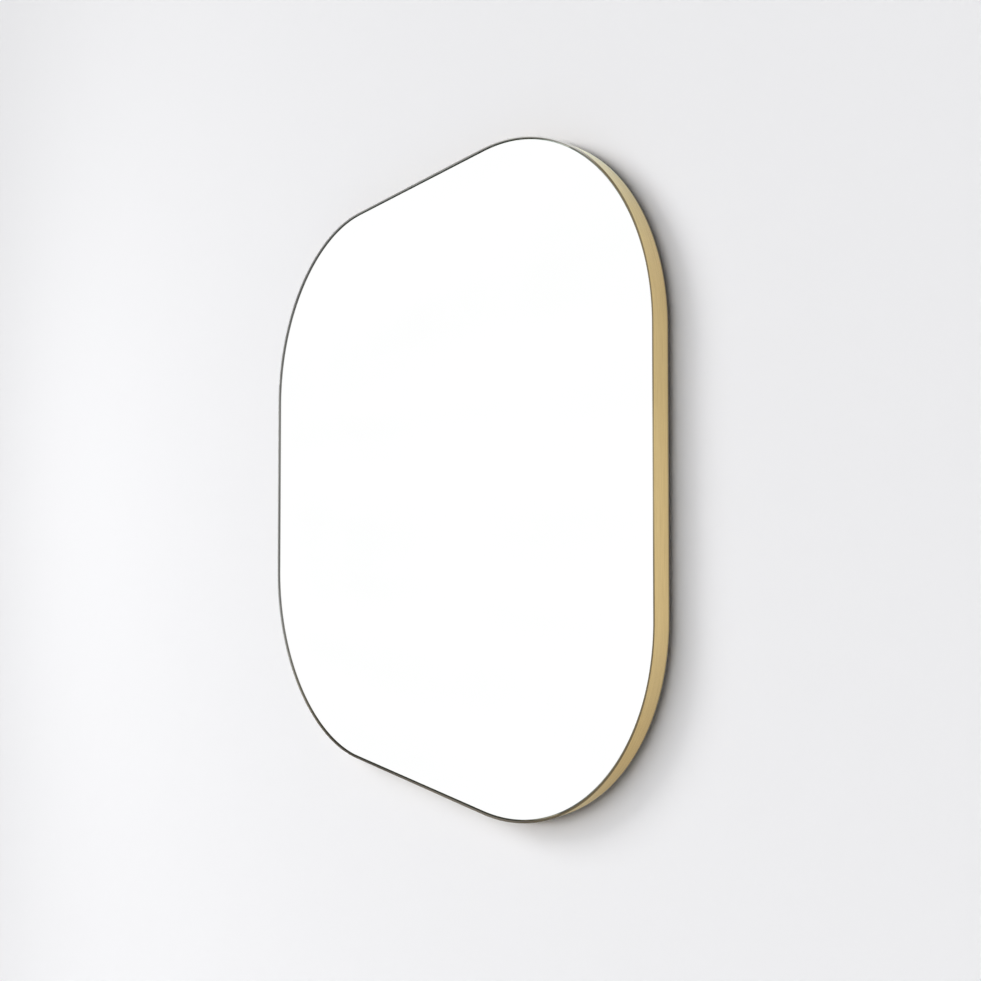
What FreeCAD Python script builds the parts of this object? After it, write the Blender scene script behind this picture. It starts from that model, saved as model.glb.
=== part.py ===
import FreeCAD
import Part

import os

import Sketcher
from FreeCAD import Placement, Rotation, Vector

# Square wall mirror with rounded corners in a brass band, hung on a pair of Z-section rails.
# Millimetres. The wall is the plane y = 0, the glass faces -Y, +X is right and +Z is up.
# The origin is the middle of the wall rail's row of screw holes, on the wall.
# Every piece keeps its own local frame and is put in place by its Placement.

# Driving sizes: each is one cell of the sheet, and nothing else in the file repeats a value.
DRIVING_SIZES = [
    ("mirror_width", 700.0, "outside width of the band"),
    ("mirror_height", 700.0, "outside height of the band"),
    ("corner_radius", 225.0, "outside corner radius of the band"),
    ("band_thickness", 2.0, "thickness of the flat bar"),
    ("band_edge_cut", 0.4, "broken edges of the flat bar"),
    ("band_wall_gap", 0.5, "shadow gap between band and wall"),
    ("seam_gap", 0.2, "hairline of the butt joint"),
    ("glass_recess", 1.9, "glass face below the front edge of the band"),
    ("glass_thickness", 4.0, "silvered glass"),
    ("glass_edge_gap", 0.6, "between glass edge and band"),
    ("glass_arris", 0.5, "ground edge of the glass"),
    ("film_thickness", 0.2, "safety film"),
    ("film_inset", 3.0, "film edge inside the glass edge"),
    ("tape_thickness", 1.0, "foam mounting tape"),
    ("tape_strip_width", 25.0, "foam mounting tape"),
    ("tape_end_margin", 110.0, "band edge to the end of a strip"),
    ("tape_side_margin", 110.0, "band edge to the middle of the outer strips"),
    ("board_thickness", 5.0, "backing board"),
    ("board_edge_gap", 1.0, "between board edge and band"),
    ("board_chamfer", 0.8, "broken back edge of the board"),
    ("board_skin", 1.0, "board left in front of a screw's end"),
    ("rail_length", 300.0, "both rails"),
    ("rail_thickness", 3.0, "wall of the Z section"),
    ("rail_base_height", 22.0, "screwed leg of the Z section"),
    ("rail_lip_height", 12.0, "hooked leg of the Z section"),
    ("rail_lip_chamfer", 0.7, "lead-in on the tip of the hooked leg"),
    ("rail_bend_radius", 0.8, "inside corners of the Z section"),
    ("rail_seat_clearance", 0.3, "between the two hooked legs"),
    ("rail_wall_clearance", 1.05, "between a hooked leg and the face it hangs in front of"),
    ("rail_drop", 160.0, "top of the band to the wall screws"),
    ("rail_end_margin", 30.0, "rail end to its outer holes"),
    ("rail_inner_spacing", 100.0, "between the two inner holes of the wall rail"),
    ("wall_hole_diameter", 5.0, "wall screw holes"),
    ("lug_width", 16.0, "bent lug, along the band"),
    ("lug_reach", 17.0, "bent lug, inward from the band"),
    ("lug_thickness", 1.5, "bent lug"),
    ("lug_bend_radius", 0.8, "inside of the bend"),
    ("lug_corner_cut", 4.0, "snipped corners of the ear"),
    ("lug_hole_inset", 10.0, "band to the screw in the ear"),
    ("lug_corner_margin", 35.0, "end of the straight side to the middle of a lug"),
    ("lug_back_margin", 0.9, "foot of the lug below the back edge of the band"),
    ("strap_length", 64.0, "strap behind the butt joint"),
    ("strap_thickness", 1.5, "strap behind the butt joint"),
    ("strap_margin", 0.7, "strap to board and to the back edge of the band"),
    ("screw_diameter", 3.5, "shank of the wood screws"),
    ("screw_head_diameter", 7.0, "pan head"),
    ("screw_head_height", 2.2, "pan head"),
    ("screw_bite_clearance", 0.05, "around the shank in the board"),
    ("screw_hole_clearance", 0.25, "around the shank in lug or rail"),
    ("bumper_diameter", 20.0, "rubber bumper"),
    ("bumper_edge_cut", 1.2, "broken rim of the bumper"),
    ("bumper_spacing", 400.0, "between the two bumpers"),
    ("bumper_rise", 100.0, "bottom of the band to the bumpers"),
]

# Sizes and places that follow from the driving sizes. "Depth" counts forward from the wall.
DERIVED_SIZES = [
    ("hook_gap", "Dims.rail_thickness + Dims.rail_seat_clearance + Dims.rail_wall_clearance"),
    ("board_back_depth", "2 * Layout.hook_gap - Dims.rail_seat_clearance"),
    ("board_front_depth", "Layout.board_back_depth + Dims.board_thickness"),
    ("film_back_depth", "Layout.board_front_depth + Dims.tape_thickness"),
    ("glass_back_depth", "Layout.film_back_depth + Dims.film_thickness"),
    ("band_front_depth", "Layout.glass_back_depth + Dims.glass_thickness + Dims.glass_recess"),
    ("band_depth", "Layout.band_front_depth - Dims.band_wall_gap"),
    ("centre_height", "Dims.rail_drop - Dims.mirror_height / 2"),
    ("inner_width", "Dims.mirror_width - 2 * Dims.band_thickness"),
    ("inner_height", "Dims.mirror_height - 2 * Dims.band_thickness"),
    ("inner_radius", "Dims.corner_radius - Dims.band_thickness"),
    ("lug_offset_x", "Dims.mirror_width / 2 - Dims.corner_radius - Dims.lug_corner_margin"),
    ("lug_offset_z", "Dims.mirror_height / 2 - Dims.corner_radius - Dims.lug_corner_margin"),
    ("lug_foot", "Layout.board_back_depth - Dims.band_wall_gap - Dims.lug_back_margin"),
    ("lug_seat_depth", "Layout.board_back_depth - Dims.lug_thickness"),
    ("rail_seat_depth", "Layout.board_back_depth - Dims.rail_thickness"),
    ("strap_width", "Layout.board_back_depth - Dims.band_wall_gap - 2 * Dims.strap_margin"),
    ("bite_depth", "Dims.board_thickness - Dims.board_skin"),
    ("bite_diameter", "Dims.screw_diameter + 2 * Dims.screw_bite_clearance"),
    ("screw_hole_diameter", "Dims.screw_diameter + 2 * Dims.screw_hole_clearance"),
    ("lug_screw_length", "Layout.bite_depth + Dims.lug_thickness"),
    ("rail_screw_length", "Layout.bite_depth + Dims.rail_thickness"),
    ("rail_outer_hole", "Dims.rail_length / 2 - Dims.rail_end_margin"),
    ("rail_inner_hole", "Dims.rail_inner_spacing / 2"),
    ("hang_rail_height", "Dims.rail_base_height + Dims.rail_lip_height"),
    ("tape_outer_x", "Dims.mirror_width / 2 - Dims.tape_side_margin"),
    ("tape_length", "Dims.mirror_height - 2 * Dims.tape_end_margin"),
    ("bumper_x", "Dims.bumper_spacing / 2"),
    ("bumper_height", "Layout.centre_height - Dims.mirror_height / 2 + Dims.bumper_rise"),
]

TAPE_STRIPS = 5

# Lugs: name, turn about Y that points the ear inward, x and height of the lug's outer corner.
# The height is measured from the middle of the mirror.
LUGS = [
    ("bottom_left", 0, "-Layout.lug_offset_x", "-Layout.inner_height / 2"),
    ("bottom_right", 0, "Layout.lug_offset_x", "-Layout.inner_height / 2"),
    ("right_lower", -90, "Layout.inner_width / 2", "-Layout.lug_offset_z"),
    ("right_upper", -90, "Layout.inner_width / 2", "Layout.lug_offset_z"),
    ("top_right", 180, "Layout.lug_offset_x", "Layout.inner_height / 2"),
    ("top_left", 180, "-Layout.lug_offset_x", "Layout.inner_height / 2"),
    ("left_upper", 90, "-Layout.inner_width / 2", "Layout.lug_offset_z"),
    ("left_lower", 90, "-Layout.inner_width / 2", "-Layout.lug_offset_z"),
]

# How far inward each lug's screw lies from that corner, by the turn of the lug.
SCREW_INSET = {
    0: ("", " + Dims.lug_hole_inset"),
    -90: (" - Dims.lug_hole_inset", ""),
    180: ("", " - Dims.lug_hole_inset"),
    90: (" + Dims.lug_hole_inset", ""),
}

# Places along X of the holes in each rail, left to right.
WALL_RAIL_HOLES = ["-Layout.rail_outer_hole", "-Layout.rail_inner_hole",
                   "Layout.rail_inner_hole", "Layout.rail_outer_hole"]
HANG_RAIL_HOLES = ["-Layout.rail_outer_hole", "0", "Layout.rail_outer_hole"]

doc = FreeCAD.newDocument("RoundedCornerMirror")


def make_sheet():
    """Write the driving sizes into the sheet, one alias for each cell."""
    sheet = doc.addObject("Spreadsheet::Sheet", "Dims")
    for row, (alias, size, note) in enumerate(DRIVING_SIZES, start=1):
        sheet.set(f"A{row}", alias)
        sheet.set(f"B{row}", str(size))
        sheet.setAlias(f"B{row}", alias)
        sheet.set(f"C{row}", note)
    doc.recompute()
    return sheet


def make_layout():
    """Hold the derived sizes as properties that follow the sheet."""
    layout = doc.addObject("App::VarSet", "Layout")
    for name, _formula in DERIVED_SIZES:
        layout.addProperty("App::PropertyFloat", name)
    for name, formula in DERIVED_SIZES:
        layout.setExpression(name, formula)
    doc.recompute()
    return layout


dims = make_sheet()
layout = make_layout()
probe = doc.addObject("App::VarSet", "Probe")
probe.addProperty("App::PropertyFloat", "size")


def origin_plane(body, role):
    """The body's own origin plane or axis with that role."""
    return next(item for item in body.Origin.OriginFeatures if item.Role == role)


def new_body(label):
    """An empty body that carries the node's name."""
    body = doc.addObject("PartDesign::Body", label)
    body.Label = label
    return body


def new_sketch(body, role, name):
    """A sketch on one of the body's origin planes."""
    sketch = body.newObject("Sketcher::SketchObject", f"{body.Name}_{name}")
    sketch.AttachmentSupport = [(origin_plane(body, role), "")]
    sketch.MapMode = "FlatFace"
    return sketch


def place(thing, x="0", depth="0", height="0", rotation=None):
    """Put a piece at x, at a depth in front of the wall and at a height over the origin."""
    thing.Placement = Placement(Vector(0, 0, 0), rotation or Rotation())
    thing.setExpression("Placement.Base.x", x)
    thing.setExpression("Placement.Base.y", f"-({depth})")
    thing.setExpression("Placement.Base.z", height)


def size_constraint(sketch, name, formula, *constraint):
    """Add a named size to a sketch and bind it."""
    index = sketch.addConstraint(Sketcher.Constraint(*constraint))
    sketch.renameConstraint(index, name)
    sketch.setExpression(f"Constraints.{name}", formula)


def rounded_rectangle(sketch, prefix, width, height, radius):
    """A rounded rectangle centred on the sketch's origin; each size is (value, formula)."""
    half_w, half_h, r = width[0] / 2, height[0] / 2, radius[0]
    corners = [(half_w - r, r - half_h, 270), (half_w - r, half_h - r, 0),
               (r - half_w, half_h - r, 90), (r - half_w, r - half_h, 180)]
    ends = [((r - half_w, -half_h), (half_w - r, -half_h)), ((half_w, r - half_h), (half_w, half_h - r)),
            ((half_w - r, half_h), (r - half_w, half_h)), ((-half_w, half_h - r), (-half_w, r - half_h))]
    sides, arcs = [], []
    for (start, stop), (cx, cy, turn) in zip(ends, corners):
        sides.append(sketch.addGeometry(Part.LineSegment(Vector(*start, 0), Vector(*stop, 0))))
        circle = Part.Circle(Vector(cx, cy, 0), Vector(0, 0, 1), r)
        first = FreeCAD.Units.Quantity(turn, FreeCAD.Units.Angle).getValueAs("rad").Value
        last = FreeCAD.Units.Quantity(turn + 90, FreeCAD.Units.Angle).getValueAs("rad").Value
        arcs.append(sketch.addGeometry(Part.ArcOfCircle(circle, first, last)))
    for i in range(4):
        sketch.addConstraint(Sketcher.Constraint("Tangent", sides[i], 2, arcs[i], 1))
        sketch.addConstraint(Sketcher.Constraint("Tangent", arcs[i], 2, sides[(i + 1) % 4], 1))
        sketch.addConstraint(Sketcher.Constraint("Vertical" if i % 2 else "Horizontal", sides[i]))
    for arc in arcs[1:]:
        sketch.addConstraint(Sketcher.Constraint("Equal", arcs[0], arc))
    sketch.addConstraint(Sketcher.Constraint("Symmetric", sides[0], 1, sides[2], 1, -1, 1))
    size_constraint(sketch, f"{prefix}_radius", radius[1], "Radius", arcs[0], r)
    size_constraint(sketch, f"{prefix}_width", width[1], "DistanceX", sides[3], 1, sides[1], 1, width[0])
    size_constraint(sketch, f"{prefix}_height", height[1], "DistanceY", sides[0], 1, sides[2], 1, height[0])


def inset_outline(sketch, prefix, inset):
    """The inside outline of the band, drawn in by the driving size named."""
    gap = dims.get(inset)
    rounded_rectangle(sketch, prefix,
                      (layout.inner_width - 2 * gap, f"Layout.inner_width - 2 * Dims.{inset}"),
                      (layout.inner_height - 2 * gap, f"Layout.inner_height - 2 * Dims.{inset}"),
                      (layout.inner_radius - gap, f"Layout.inner_radius - Dims.{inset}"))


def polygon(sketch, points):
    """A closed polygon; each corner is ((x, formula), (y, formula)) from the sketch's origin."""
    lines = []
    for i, (start, stop) in enumerate(zip(points, points[1:] + points[:1])):
        lines.append(sketch.addGeometry(Part.LineSegment(Vector(start[0][0], start[1][0], 0),
                                                         Vector(stop[0][0], stop[1][0], 0))))
    for i, line in enumerate(lines):
        sketch.addConstraint(Sketcher.Constraint("Coincident", line, 2, lines[(i + 1) % len(lines)], 1))
    for i, ((x, x_formula), (y, y_formula)) in enumerate(points):
        size_constraint(sketch, f"x{i}", x_formula, "DistanceX", -1, 1, lines[i], 1, x)
        size_constraint(sketch, f"y{i}", y_formula, "DistanceY", -1, 1, lines[i], 1, y)


def measured(formula):
    """A formula with the value it has now, to draw a sketch close to its final shape."""
    probe.setExpression("size", formula)
    probe.recompute()
    return probe.size, formula


def corners(*formulas):
    """Polygon corners from pairs of formulas."""
    return [(measured(x), measured(y)) for x, y in formulas]


def circles(sketch, places, diameter):
    """Circles of one diameter, with their centres at pairs of formulas."""
    size, size_formula = measured(diameter)
    first = None
    for i, (x_formula, y_formula) in enumerate(places):
        x, y = measured(x_formula)[0], measured(y_formula)[0]
        index = sketch.addGeometry(Part.Circle(Vector(x, y, 0), Vector(0, 0, 1), size / 2))
        size_constraint(sketch, f"x{i}", x_formula, "DistanceX", -1, 1, index, 3, x)
        size_constraint(sketch, f"y{i}", y_formula, "DistanceY", -1, 1, index, 3, y)
        if first is None:
            first = index
            size_constraint(sketch, "diameter", size_formula, "Diameter", index, size)
        else:
            sketch.addConstraint(Sketcher.Constraint("Equal", first, index))


def pad(body, sketch, length, symmetric=False):
    """Pad a sketch along its normal, or to both sides of it."""
    feature = body.newObject("PartDesign::Pad", f"{body.Name}_pad")
    feature.Profile = sketch
    feature.setExpression("Length", length)
    feature.SideType = "Symmetric" if symmetric else "One side"
    doc.recompute()
    return feature


def pocket(body, sketch, length=None, reverse=False):
    """Cut a sketch into the body and make sure that something was removed."""
    before = body.Shape.Volume
    feature = body.newObject("PartDesign::Pocket", f"{body.Name}_pocket")
    feature.Profile = sketch
    feature.Reversed = reverse
    if length is None:
        feature.Type = "ThroughAll"
        feature.SideType = "Symmetric"
    else:
        feature.setExpression("Length", length)
    doc.recompute()
    if feature.Shape.Volume >= before - 1e-6:
        raise RuntimeError(f"{body.Label}: a pocket removed nothing")
    return feature


def edges_of(shape, wanted):
    """Names of the edges that the test picks out."""
    return [f"Edge{i}" for i, edge in enumerate(shape.Edges, start=1) if wanted(edge)]


def dress_edges(body, kind, names, base, size_name, formula):
    """Fillet or chamfer the named edges of a feature."""
    feature = body.newObject(f"PartDesign::{kind}", f"{body.Name}_{kind.lower()}")
    feature.Base = (base, names)
    feature.setExpression(size_name, formula)
    doc.recompute()
    return feature


def flat_rim(edge):
    """True for an edge that lies in a plane across Y."""
    return edge.BoundBox.YLength < 1e-6


def at(edge, **where):
    """True for an edge whose middle has the coordinates given."""
    middle = edge.BoundBox.Center
    return all(abs(getattr(middle, axis) - place_on_axis) < 1e-4 for axis, place_on_axis in where.items())


def spans_x(edge):
    """True for a straight edge along X."""
    box = edge.BoundBox
    return box.XLength > 1e-3 and box.YLength < 1e-6 and box.ZLength < 1e-6


def frame_band():
    """Flat bar bent on edge to a rounded square, with a hairline butt joint at the bottom."""
    body = new_body("frame_band")
    sketch = new_sketch(body, "XZ_Plane", "section")
    rounded_rectangle(sketch, "outer", measured("Dims.mirror_width"), measured("Dims.mirror_height"),
                      measured("Dims.corner_radius"))
    rounded_rectangle(sketch, "inner", measured("Layout.inner_width"), measured("Layout.inner_height"),
                      measured("Layout.inner_radius"))
    bar = pad(body, sketch, "Layout.band_depth")
    dress_edges(body, "Chamfer", edges_of(bar.Shape, flat_rim), bar, "Size", "Dims.band_edge_cut")
    seam = new_sketch(body, "XZ_Plane", "seam")
    left, right = "-Dims.seam_gap / 2", "Dims.seam_gap / 2"
    low = "-Dims.mirror_height / 2 - Dims.band_thickness"
    high = "-Dims.mirror_height / 2 + 2 * Dims.band_thickness"
    polygon(seam, corners((left, low), (right, low), (right, high), (left, high)))
    pocket(body, seam)
    place(body, depth="Dims.band_wall_gap", height="Layout.centre_height")
    return body


def joint_strap():
    """Strap soldered to the inside of the band across the butt joint."""
    body = new_body("joint_strap")
    sketch = new_sketch(body, "XZ_Plane", "outline")
    low, high = "0", "Dims.strap_thickness"
    left, right = "-Dims.strap_length / 2", "Dims.strap_length / 2"
    polygon(sketch, corners((left, low), (right, low), (right, high), (left, high)))
    bar = pad(body, sketch, "Layout.strap_width")
    ends = edges_of(bar.Shape, lambda edge: edge.BoundBox.YLength > 1e-3 and edge.BoundBox.Center.z > 1e-3)
    dress_edges(body, "Chamfer", ends, bar, "Size", "Dims.strap_thickness / 2")
    place(body, depth="Dims.band_wall_gap + Dims.strap_margin",
          height="Layout.centre_height - Layout.inner_height / 2")
    return body


def fixing_lug(name, turn, x, height):
    """Bent lug: the foot stands on the inside of the band, the ear lies on the back of the board."""
    body = new_body(f"lug_{name}")
    sketch = new_sketch(body, "YZ_Plane", "profile")
    thick = "Dims.lug_thickness"
    polygon(sketch, corners(("0", "0"), ("Layout.lug_foot", "0"), ("Layout.lug_foot", thick),
                            (thick, thick), (thick, "Dims.lug_reach"), ("0", "Dims.lug_reach")))
    bent = pad(body, sketch, "Dims.lug_width", symmetric=True)
    t = dims.get("lug_thickness")
    inner = edges_of(bent.Shape, lambda edge: spans_x(edge) and at(edge, y=t, z=t))
    bent = dress_edges(body, "Fillet", inner, bent, "Radius", "Dims.lug_bend_radius")
    outer = edges_of(bent.Shape, lambda edge: spans_x(edge) and at(edge, y=0, z=0))
    bent = dress_edges(body, "Fillet", outer, bent, "Radius", "Dims.lug_bend_radius + Dims.lug_thickness")
    tips = edges_of(bent.Shape, lambda edge: at(edge, y=t / 2, z=dims.get("lug_reach")) and not spans_x(edge))
    dress_edges(body, "Chamfer", tips, bent, "Size", "Dims.lug_corner_cut")
    hole = new_sketch(body, "XZ_Plane", "hole")
    circles(hole, [("0", "Dims.lug_hole_inset")], "Layout.screw_hole_diameter")
    pocket(body, hole)
    place(body, x, "Layout.board_back_depth", f"Layout.centre_height + ({height})",
          Rotation(Vector(0, 1, 0), turn))
    return body


def sheet_piece(label, inset, thickness, depth):
    """A flat sheet with the band's inside outline, drawn in by a gap."""
    body = new_body(label)
    sketch = new_sketch(body, "XZ_Plane", "outline")
    inset_outline(sketch, "edge", inset)
    feature = pad(body, sketch, f"Dims.{thickness}")
    place(body, depth=depth, height="Layout.centre_height")
    return body, feature


def mirror_glass():
    """Silvered glass with both rims ground to an arris."""
    body, sheet = sheet_piece("mirror_glass", "glass_edge_gap", "glass_thickness", "Layout.glass_back_depth")
    dress_edges(body, "Chamfer", edges_of(sheet.Shape, flat_rim), sheet, "Size", "Dims.glass_arris")
    return body


def safety_film():
    """Film stuck to the silvering."""
    return sheet_piece("safety_film", "film_inset", "film_thickness", "Layout.film_back_depth")[0]


def tape_strip(number):
    """One upright strip of foam tape between film and board."""
    strip = doc.addObject("Part::Box", f"tape_strip_{number}")
    strip.Label = f"tape_strip_{number}"
    strip.setExpression("Length", "Dims.tape_strip_width")
    strip.setExpression("Width", "Dims.tape_thickness")
    strip.setExpression("Height", "Layout.tape_length")
    share = 2 * (number - 1) / (TAPE_STRIPS - 1) - 1
    place(strip, f"{share} * Layout.tape_outer_x - Dims.tape_strip_width / 2", "Layout.film_back_depth",
          "Layout.centre_height - Layout.tape_length / 2")
    return strip


def lug_screw_places():
    """Name, x and height over the mirror's middle of each lug's screw."""
    for name, turn, x, height in LUGS:
        inset_x, inset_z = SCREW_INSET[turn]
        yield name, x + inset_x, height + inset_z


def backing_board():
    """Board behind the glass, with a blind hole for every screw that bites into it."""
    body, sheet = sheet_piece("backing_board", "board_edge_gap", "board_thickness", "Layout.board_back_depth")
    back_rim = edges_of(sheet.Shape, lambda edge: flat_rim(edge) and at(edge, y=0))
    dress_edges(body, "Chamfer", back_rim, sheet, "Size", "Dims.board_chamfer")
    holes = new_sketch(body, "XZ_Plane", "holes")
    places = [(x, height) for _name, x, height in lug_screw_places()]
    places += [(x, "Layout.hang_rail_height - Layout.centre_height") for x in HANG_RAIL_HOLES]
    circles(holes, places, "Layout.bite_diameter")
    pocket(body, holes, "Layout.bite_depth", reverse=True)
    return body


def rail(label, hole_places, hole_diameter):
    """Z-section rail: the screwed leg lies on y = 0, the hooked leg stands in front of it and up."""
    body = new_body(label)
    sketch = new_sketch(body, "YZ_Plane", "profile")
    half, wall, gap = "Dims.rail_base_height / 2", "Dims.rail_thickness", "Layout.hook_gap"
    tip = f"{half} + Dims.rail_lip_height"
    polygon(sketch, corners(("0", f"-{half}"), ("0", half), (f"-{gap}", half), (f"-{gap}", tip),
                            (f"-{gap} - {wall}", tip), (f"-{gap} - {wall}", f"{half} - {wall}"),
                            (f"-{wall}", f"{half} - {wall}"), (f"-{wall}", f"-{half}")))
    bar = pad(body, sketch, "Dims.rail_length", symmetric=True)
    half_size, wall_size = dims.get("rail_base_height") / 2, dims.get("rail_thickness")
    tip_size = half_size + dims.get("rail_lip_height")
    inside = edges_of(bar.Shape, lambda edge: spans_x(edge) and (
        at(edge, y=-layout.hook_gap, z=half_size) or at(edge, y=-wall_size, z=half_size - wall_size)))
    bar = dress_edges(body, "Fillet", inside, bar, "Radius", "Dims.rail_bend_radius")
    lip = edges_of(bar.Shape, lambda edge: spans_x(edge) and at(edge, z=tip_size))
    dress_edges(body, "Chamfer", lip, bar, "Size", "Dims.rail_lip_chamfer")
    holes = new_sketch(body, "XZ_Plane", "holes")
    circles(holes, [(x, "0") for x in hole_places], hole_diameter)
    pocket(body, holes)
    return body


def wall_rail():
    """The rail on the wall; its own frame is the frame of the whole part."""
    body = rail("wall_rail", WALL_RAIL_HOLES, "Dims.wall_hole_diameter")
    place(body)
    return body


def hang_rail():
    """The same section turned over, on the back of the board and hooked behind the wall rail's lip."""
    body = rail("hang_rail", HANG_RAIL_HOLES, "Layout.screw_hole_diameter")
    place(body, depth="Layout.board_back_depth", height="Layout.hang_rail_height",
          rotation=Rotation(Vector(1, 0, 0), 180))
    return body


def wood_screw(name, length):
    """Pan head screw along Y: the head sits on y = 0 and the shank looks forward."""
    body = new_body(name)
    sketch = new_sketch(body, "XY_Plane", "half_section")
    head, shank = "Dims.screw_head_diameter / 2", "Dims.screw_diameter / 2"
    polygon(sketch, corners(("0", "Dims.screw_head_height"), (head, "Dims.screw_head_height"),
                            (head, "0"), (shank, "0"), (shank, f"-{length}"), ("0", f"-{length}")))
    turned = body.newObject("PartDesign::Revolution", f"{name}_turned")
    turned.Profile = sketch
    turned.ReferenceAxis = (origin_plane(body, "Y_Axis"), [""])
    turned.Angle = 360
    doc.recompute()
    return body


def group(label, members):
    """Identical fasteners as one node of separate solids."""
    compound = doc.addObject("Part::Compound", label)
    compound.Label = label
    compound.Links = members
    return compound


def lug_screws():
    """The screws that hold the board to the lugs."""
    screws = []
    for name, x, height in lug_screw_places():
        screw = wood_screw(f"screw_{name}", "Layout.lug_screw_length")
        place(screw, x, "Layout.lug_seat_depth", f"Layout.centre_height + ({height})")
        screws.append(screw)
    return group("lug_screws", screws)


def hang_rail_screws():
    """The screws that hold the hanging rail to the board."""
    screws = []
    for number, x in enumerate(HANG_RAIL_HOLES, start=1):
        screw = wood_screw(f"rail_screw_{number}", "Layout.rail_screw_length")
        place(screw, x, "Layout.rail_seat_depth", "Layout.hang_rail_height")
        screws.append(screw)
    return group("hang_rail_screws", screws)


def bumper(side, x):
    """Rubber bumper that keeps the foot of the mirror off the wall."""
    body = new_body(f"bumper_{side}")
    sketch = new_sketch(body, "XY_Plane", "half_section")
    radius, tip = "Dims.bumper_diameter / 2", "Layout.board_back_depth"
    polygon(sketch, corners(("0", "0"), (radius, "0"), (radius, tip), ("0", tip)))
    turned = body.newObject("PartDesign::Revolution", f"bumper_{side}_turned")
    turned.Profile = sketch
    turned.ReferenceAxis = (origin_plane(body, "Y_Axis"), [""])
    turned.Angle = 360
    doc.recompute()
    rim = edges_of(turned.Shape, lambda edge: flat_rim(edge) and at(edge, y=layout.board_back_depth))
    dress_edges(body, "Chamfer", rim, turned, "Size", "Dims.bumper_edge_cut")
    place(body, x, "Layout.board_back_depth", "Layout.bumper_height")
    return body


def build():
    """Make every node of the assembly."""
    nodes = [frame_band(), joint_strap()]
    nodes += [fixing_lug(*lug) for lug in LUGS]
    nodes += [mirror_glass(), safety_film()]
    nodes += [tape_strip(number) for number in range(1, TAPE_STRIPS + 1)]
    nodes += [backing_board(), lug_screws(), hang_rail(), hang_rail_screws(), wall_rail()]
    nodes += [bumper("left", "-Layout.bumper_x"), bumper("right", "Layout.bumper_x")]
    doc.recompute()
    return nodes


def check(nodes):
    """Stop if anything in the document failed or a node has no sound solid."""
    for thing in doc.Objects:
        if "Invalid" in thing.State or "Error" in thing.State:
            raise RuntimeError(f"{thing.Label} is in state {thing.State}")
    for node in nodes:
        if node.Shape.isNull() or not node.Shape.isValid() or not node.Shape.Solids:
            raise RuntimeError(f"{node.Label} has no valid solid")


def export(nodes):
    """Write one STEP file for each node."""
    os.makedirs("parts", exist_ok=True)
    for node in nodes:
        node.Shape.exportStep(f"parts/{node.Label}.step")
        print(node.Label, len(node.Shape.Solids), round(node.Shape.Volume, 2))


pieces = build()
check(pieces)
export(pieces)
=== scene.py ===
"""Looks of a square wall mirror with rounded corners, held in a deep band of brushed brass.

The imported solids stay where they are. The band, glass, screws, rails and bumpers are built again here with
finer edges, solder is added where the lugs meet the band, and every surface gets a finish made of nodes.
All lengths are in metres: x runs to the right, y into the wall and z up, and the wall's face is y = 0.
"""

import logging
import math
from collections.abc import Iterable, Mapping, Sequence
from dataclasses import dataclass, field, replace
from enum import Enum
from typing import Any

import bmesh
import bpy
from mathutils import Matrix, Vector


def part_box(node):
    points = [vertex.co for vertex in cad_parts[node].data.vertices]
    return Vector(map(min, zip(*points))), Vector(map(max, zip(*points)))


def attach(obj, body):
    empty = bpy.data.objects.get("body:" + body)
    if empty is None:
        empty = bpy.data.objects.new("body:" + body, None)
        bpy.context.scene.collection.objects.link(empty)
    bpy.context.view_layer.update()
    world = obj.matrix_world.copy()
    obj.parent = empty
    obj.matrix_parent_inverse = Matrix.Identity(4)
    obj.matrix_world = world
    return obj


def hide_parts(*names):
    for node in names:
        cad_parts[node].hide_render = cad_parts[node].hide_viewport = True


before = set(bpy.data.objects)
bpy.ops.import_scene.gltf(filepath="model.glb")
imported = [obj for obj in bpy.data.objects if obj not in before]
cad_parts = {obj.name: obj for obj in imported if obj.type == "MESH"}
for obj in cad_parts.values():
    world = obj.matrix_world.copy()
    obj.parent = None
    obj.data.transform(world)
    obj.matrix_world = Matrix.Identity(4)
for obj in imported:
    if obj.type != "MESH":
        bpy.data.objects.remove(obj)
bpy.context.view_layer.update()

LOG = logging.getLogger("rounded_mirror")
MM = 0.001
QUARTER = math.pi / 2
TREE_MERGE = 1e-6
FORM_MERGE = 1e-7

Span = tuple[float, float]
Colour = tuple[float, float, float]
Point = tuple[float, float, float]
Socket = bpy.types.NodeSocket
Node = bpy.types.Node
Tree = bpy.types.NodeTree
Material = bpy.types.Material
Piece = bpy.types.Object

WHITE: Colour = (1.0, 1.0, 1.0)
SOCKET_KINDS: dict[type, str] = {int: "Int", float: "Float", list: "Vector", Material: "Material"}


class Body(Enum):
    """The two bodies that part when the mirror is lifted off."""

    WALL = "wall_rail"
    MIRROR = "mirror"


class Slot(Enum):
    """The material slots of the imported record."""

    BAND = "band_brass"
    FITTING = "fitting_brass"
    SCREW = "zinc_screw"
    GLASS = "silvered_glass"
    RAIL = "rail_aluminium"
    RUBBER = "bumper_rubber"


class Side(Enum):
    """A straight side of the band: the turn about y that carries a fitting from the bottom to that side."""

    BOTTOM = 0.0
    RIGHT = -QUARTER
    TOP = math.pi
    LEFT = QUARTER


class Gloss(Enum):
    """What the gloss of a coat follows: its clouds or its grain."""

    CLOUDS = "clouds"
    GRAIN = "grain"


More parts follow.
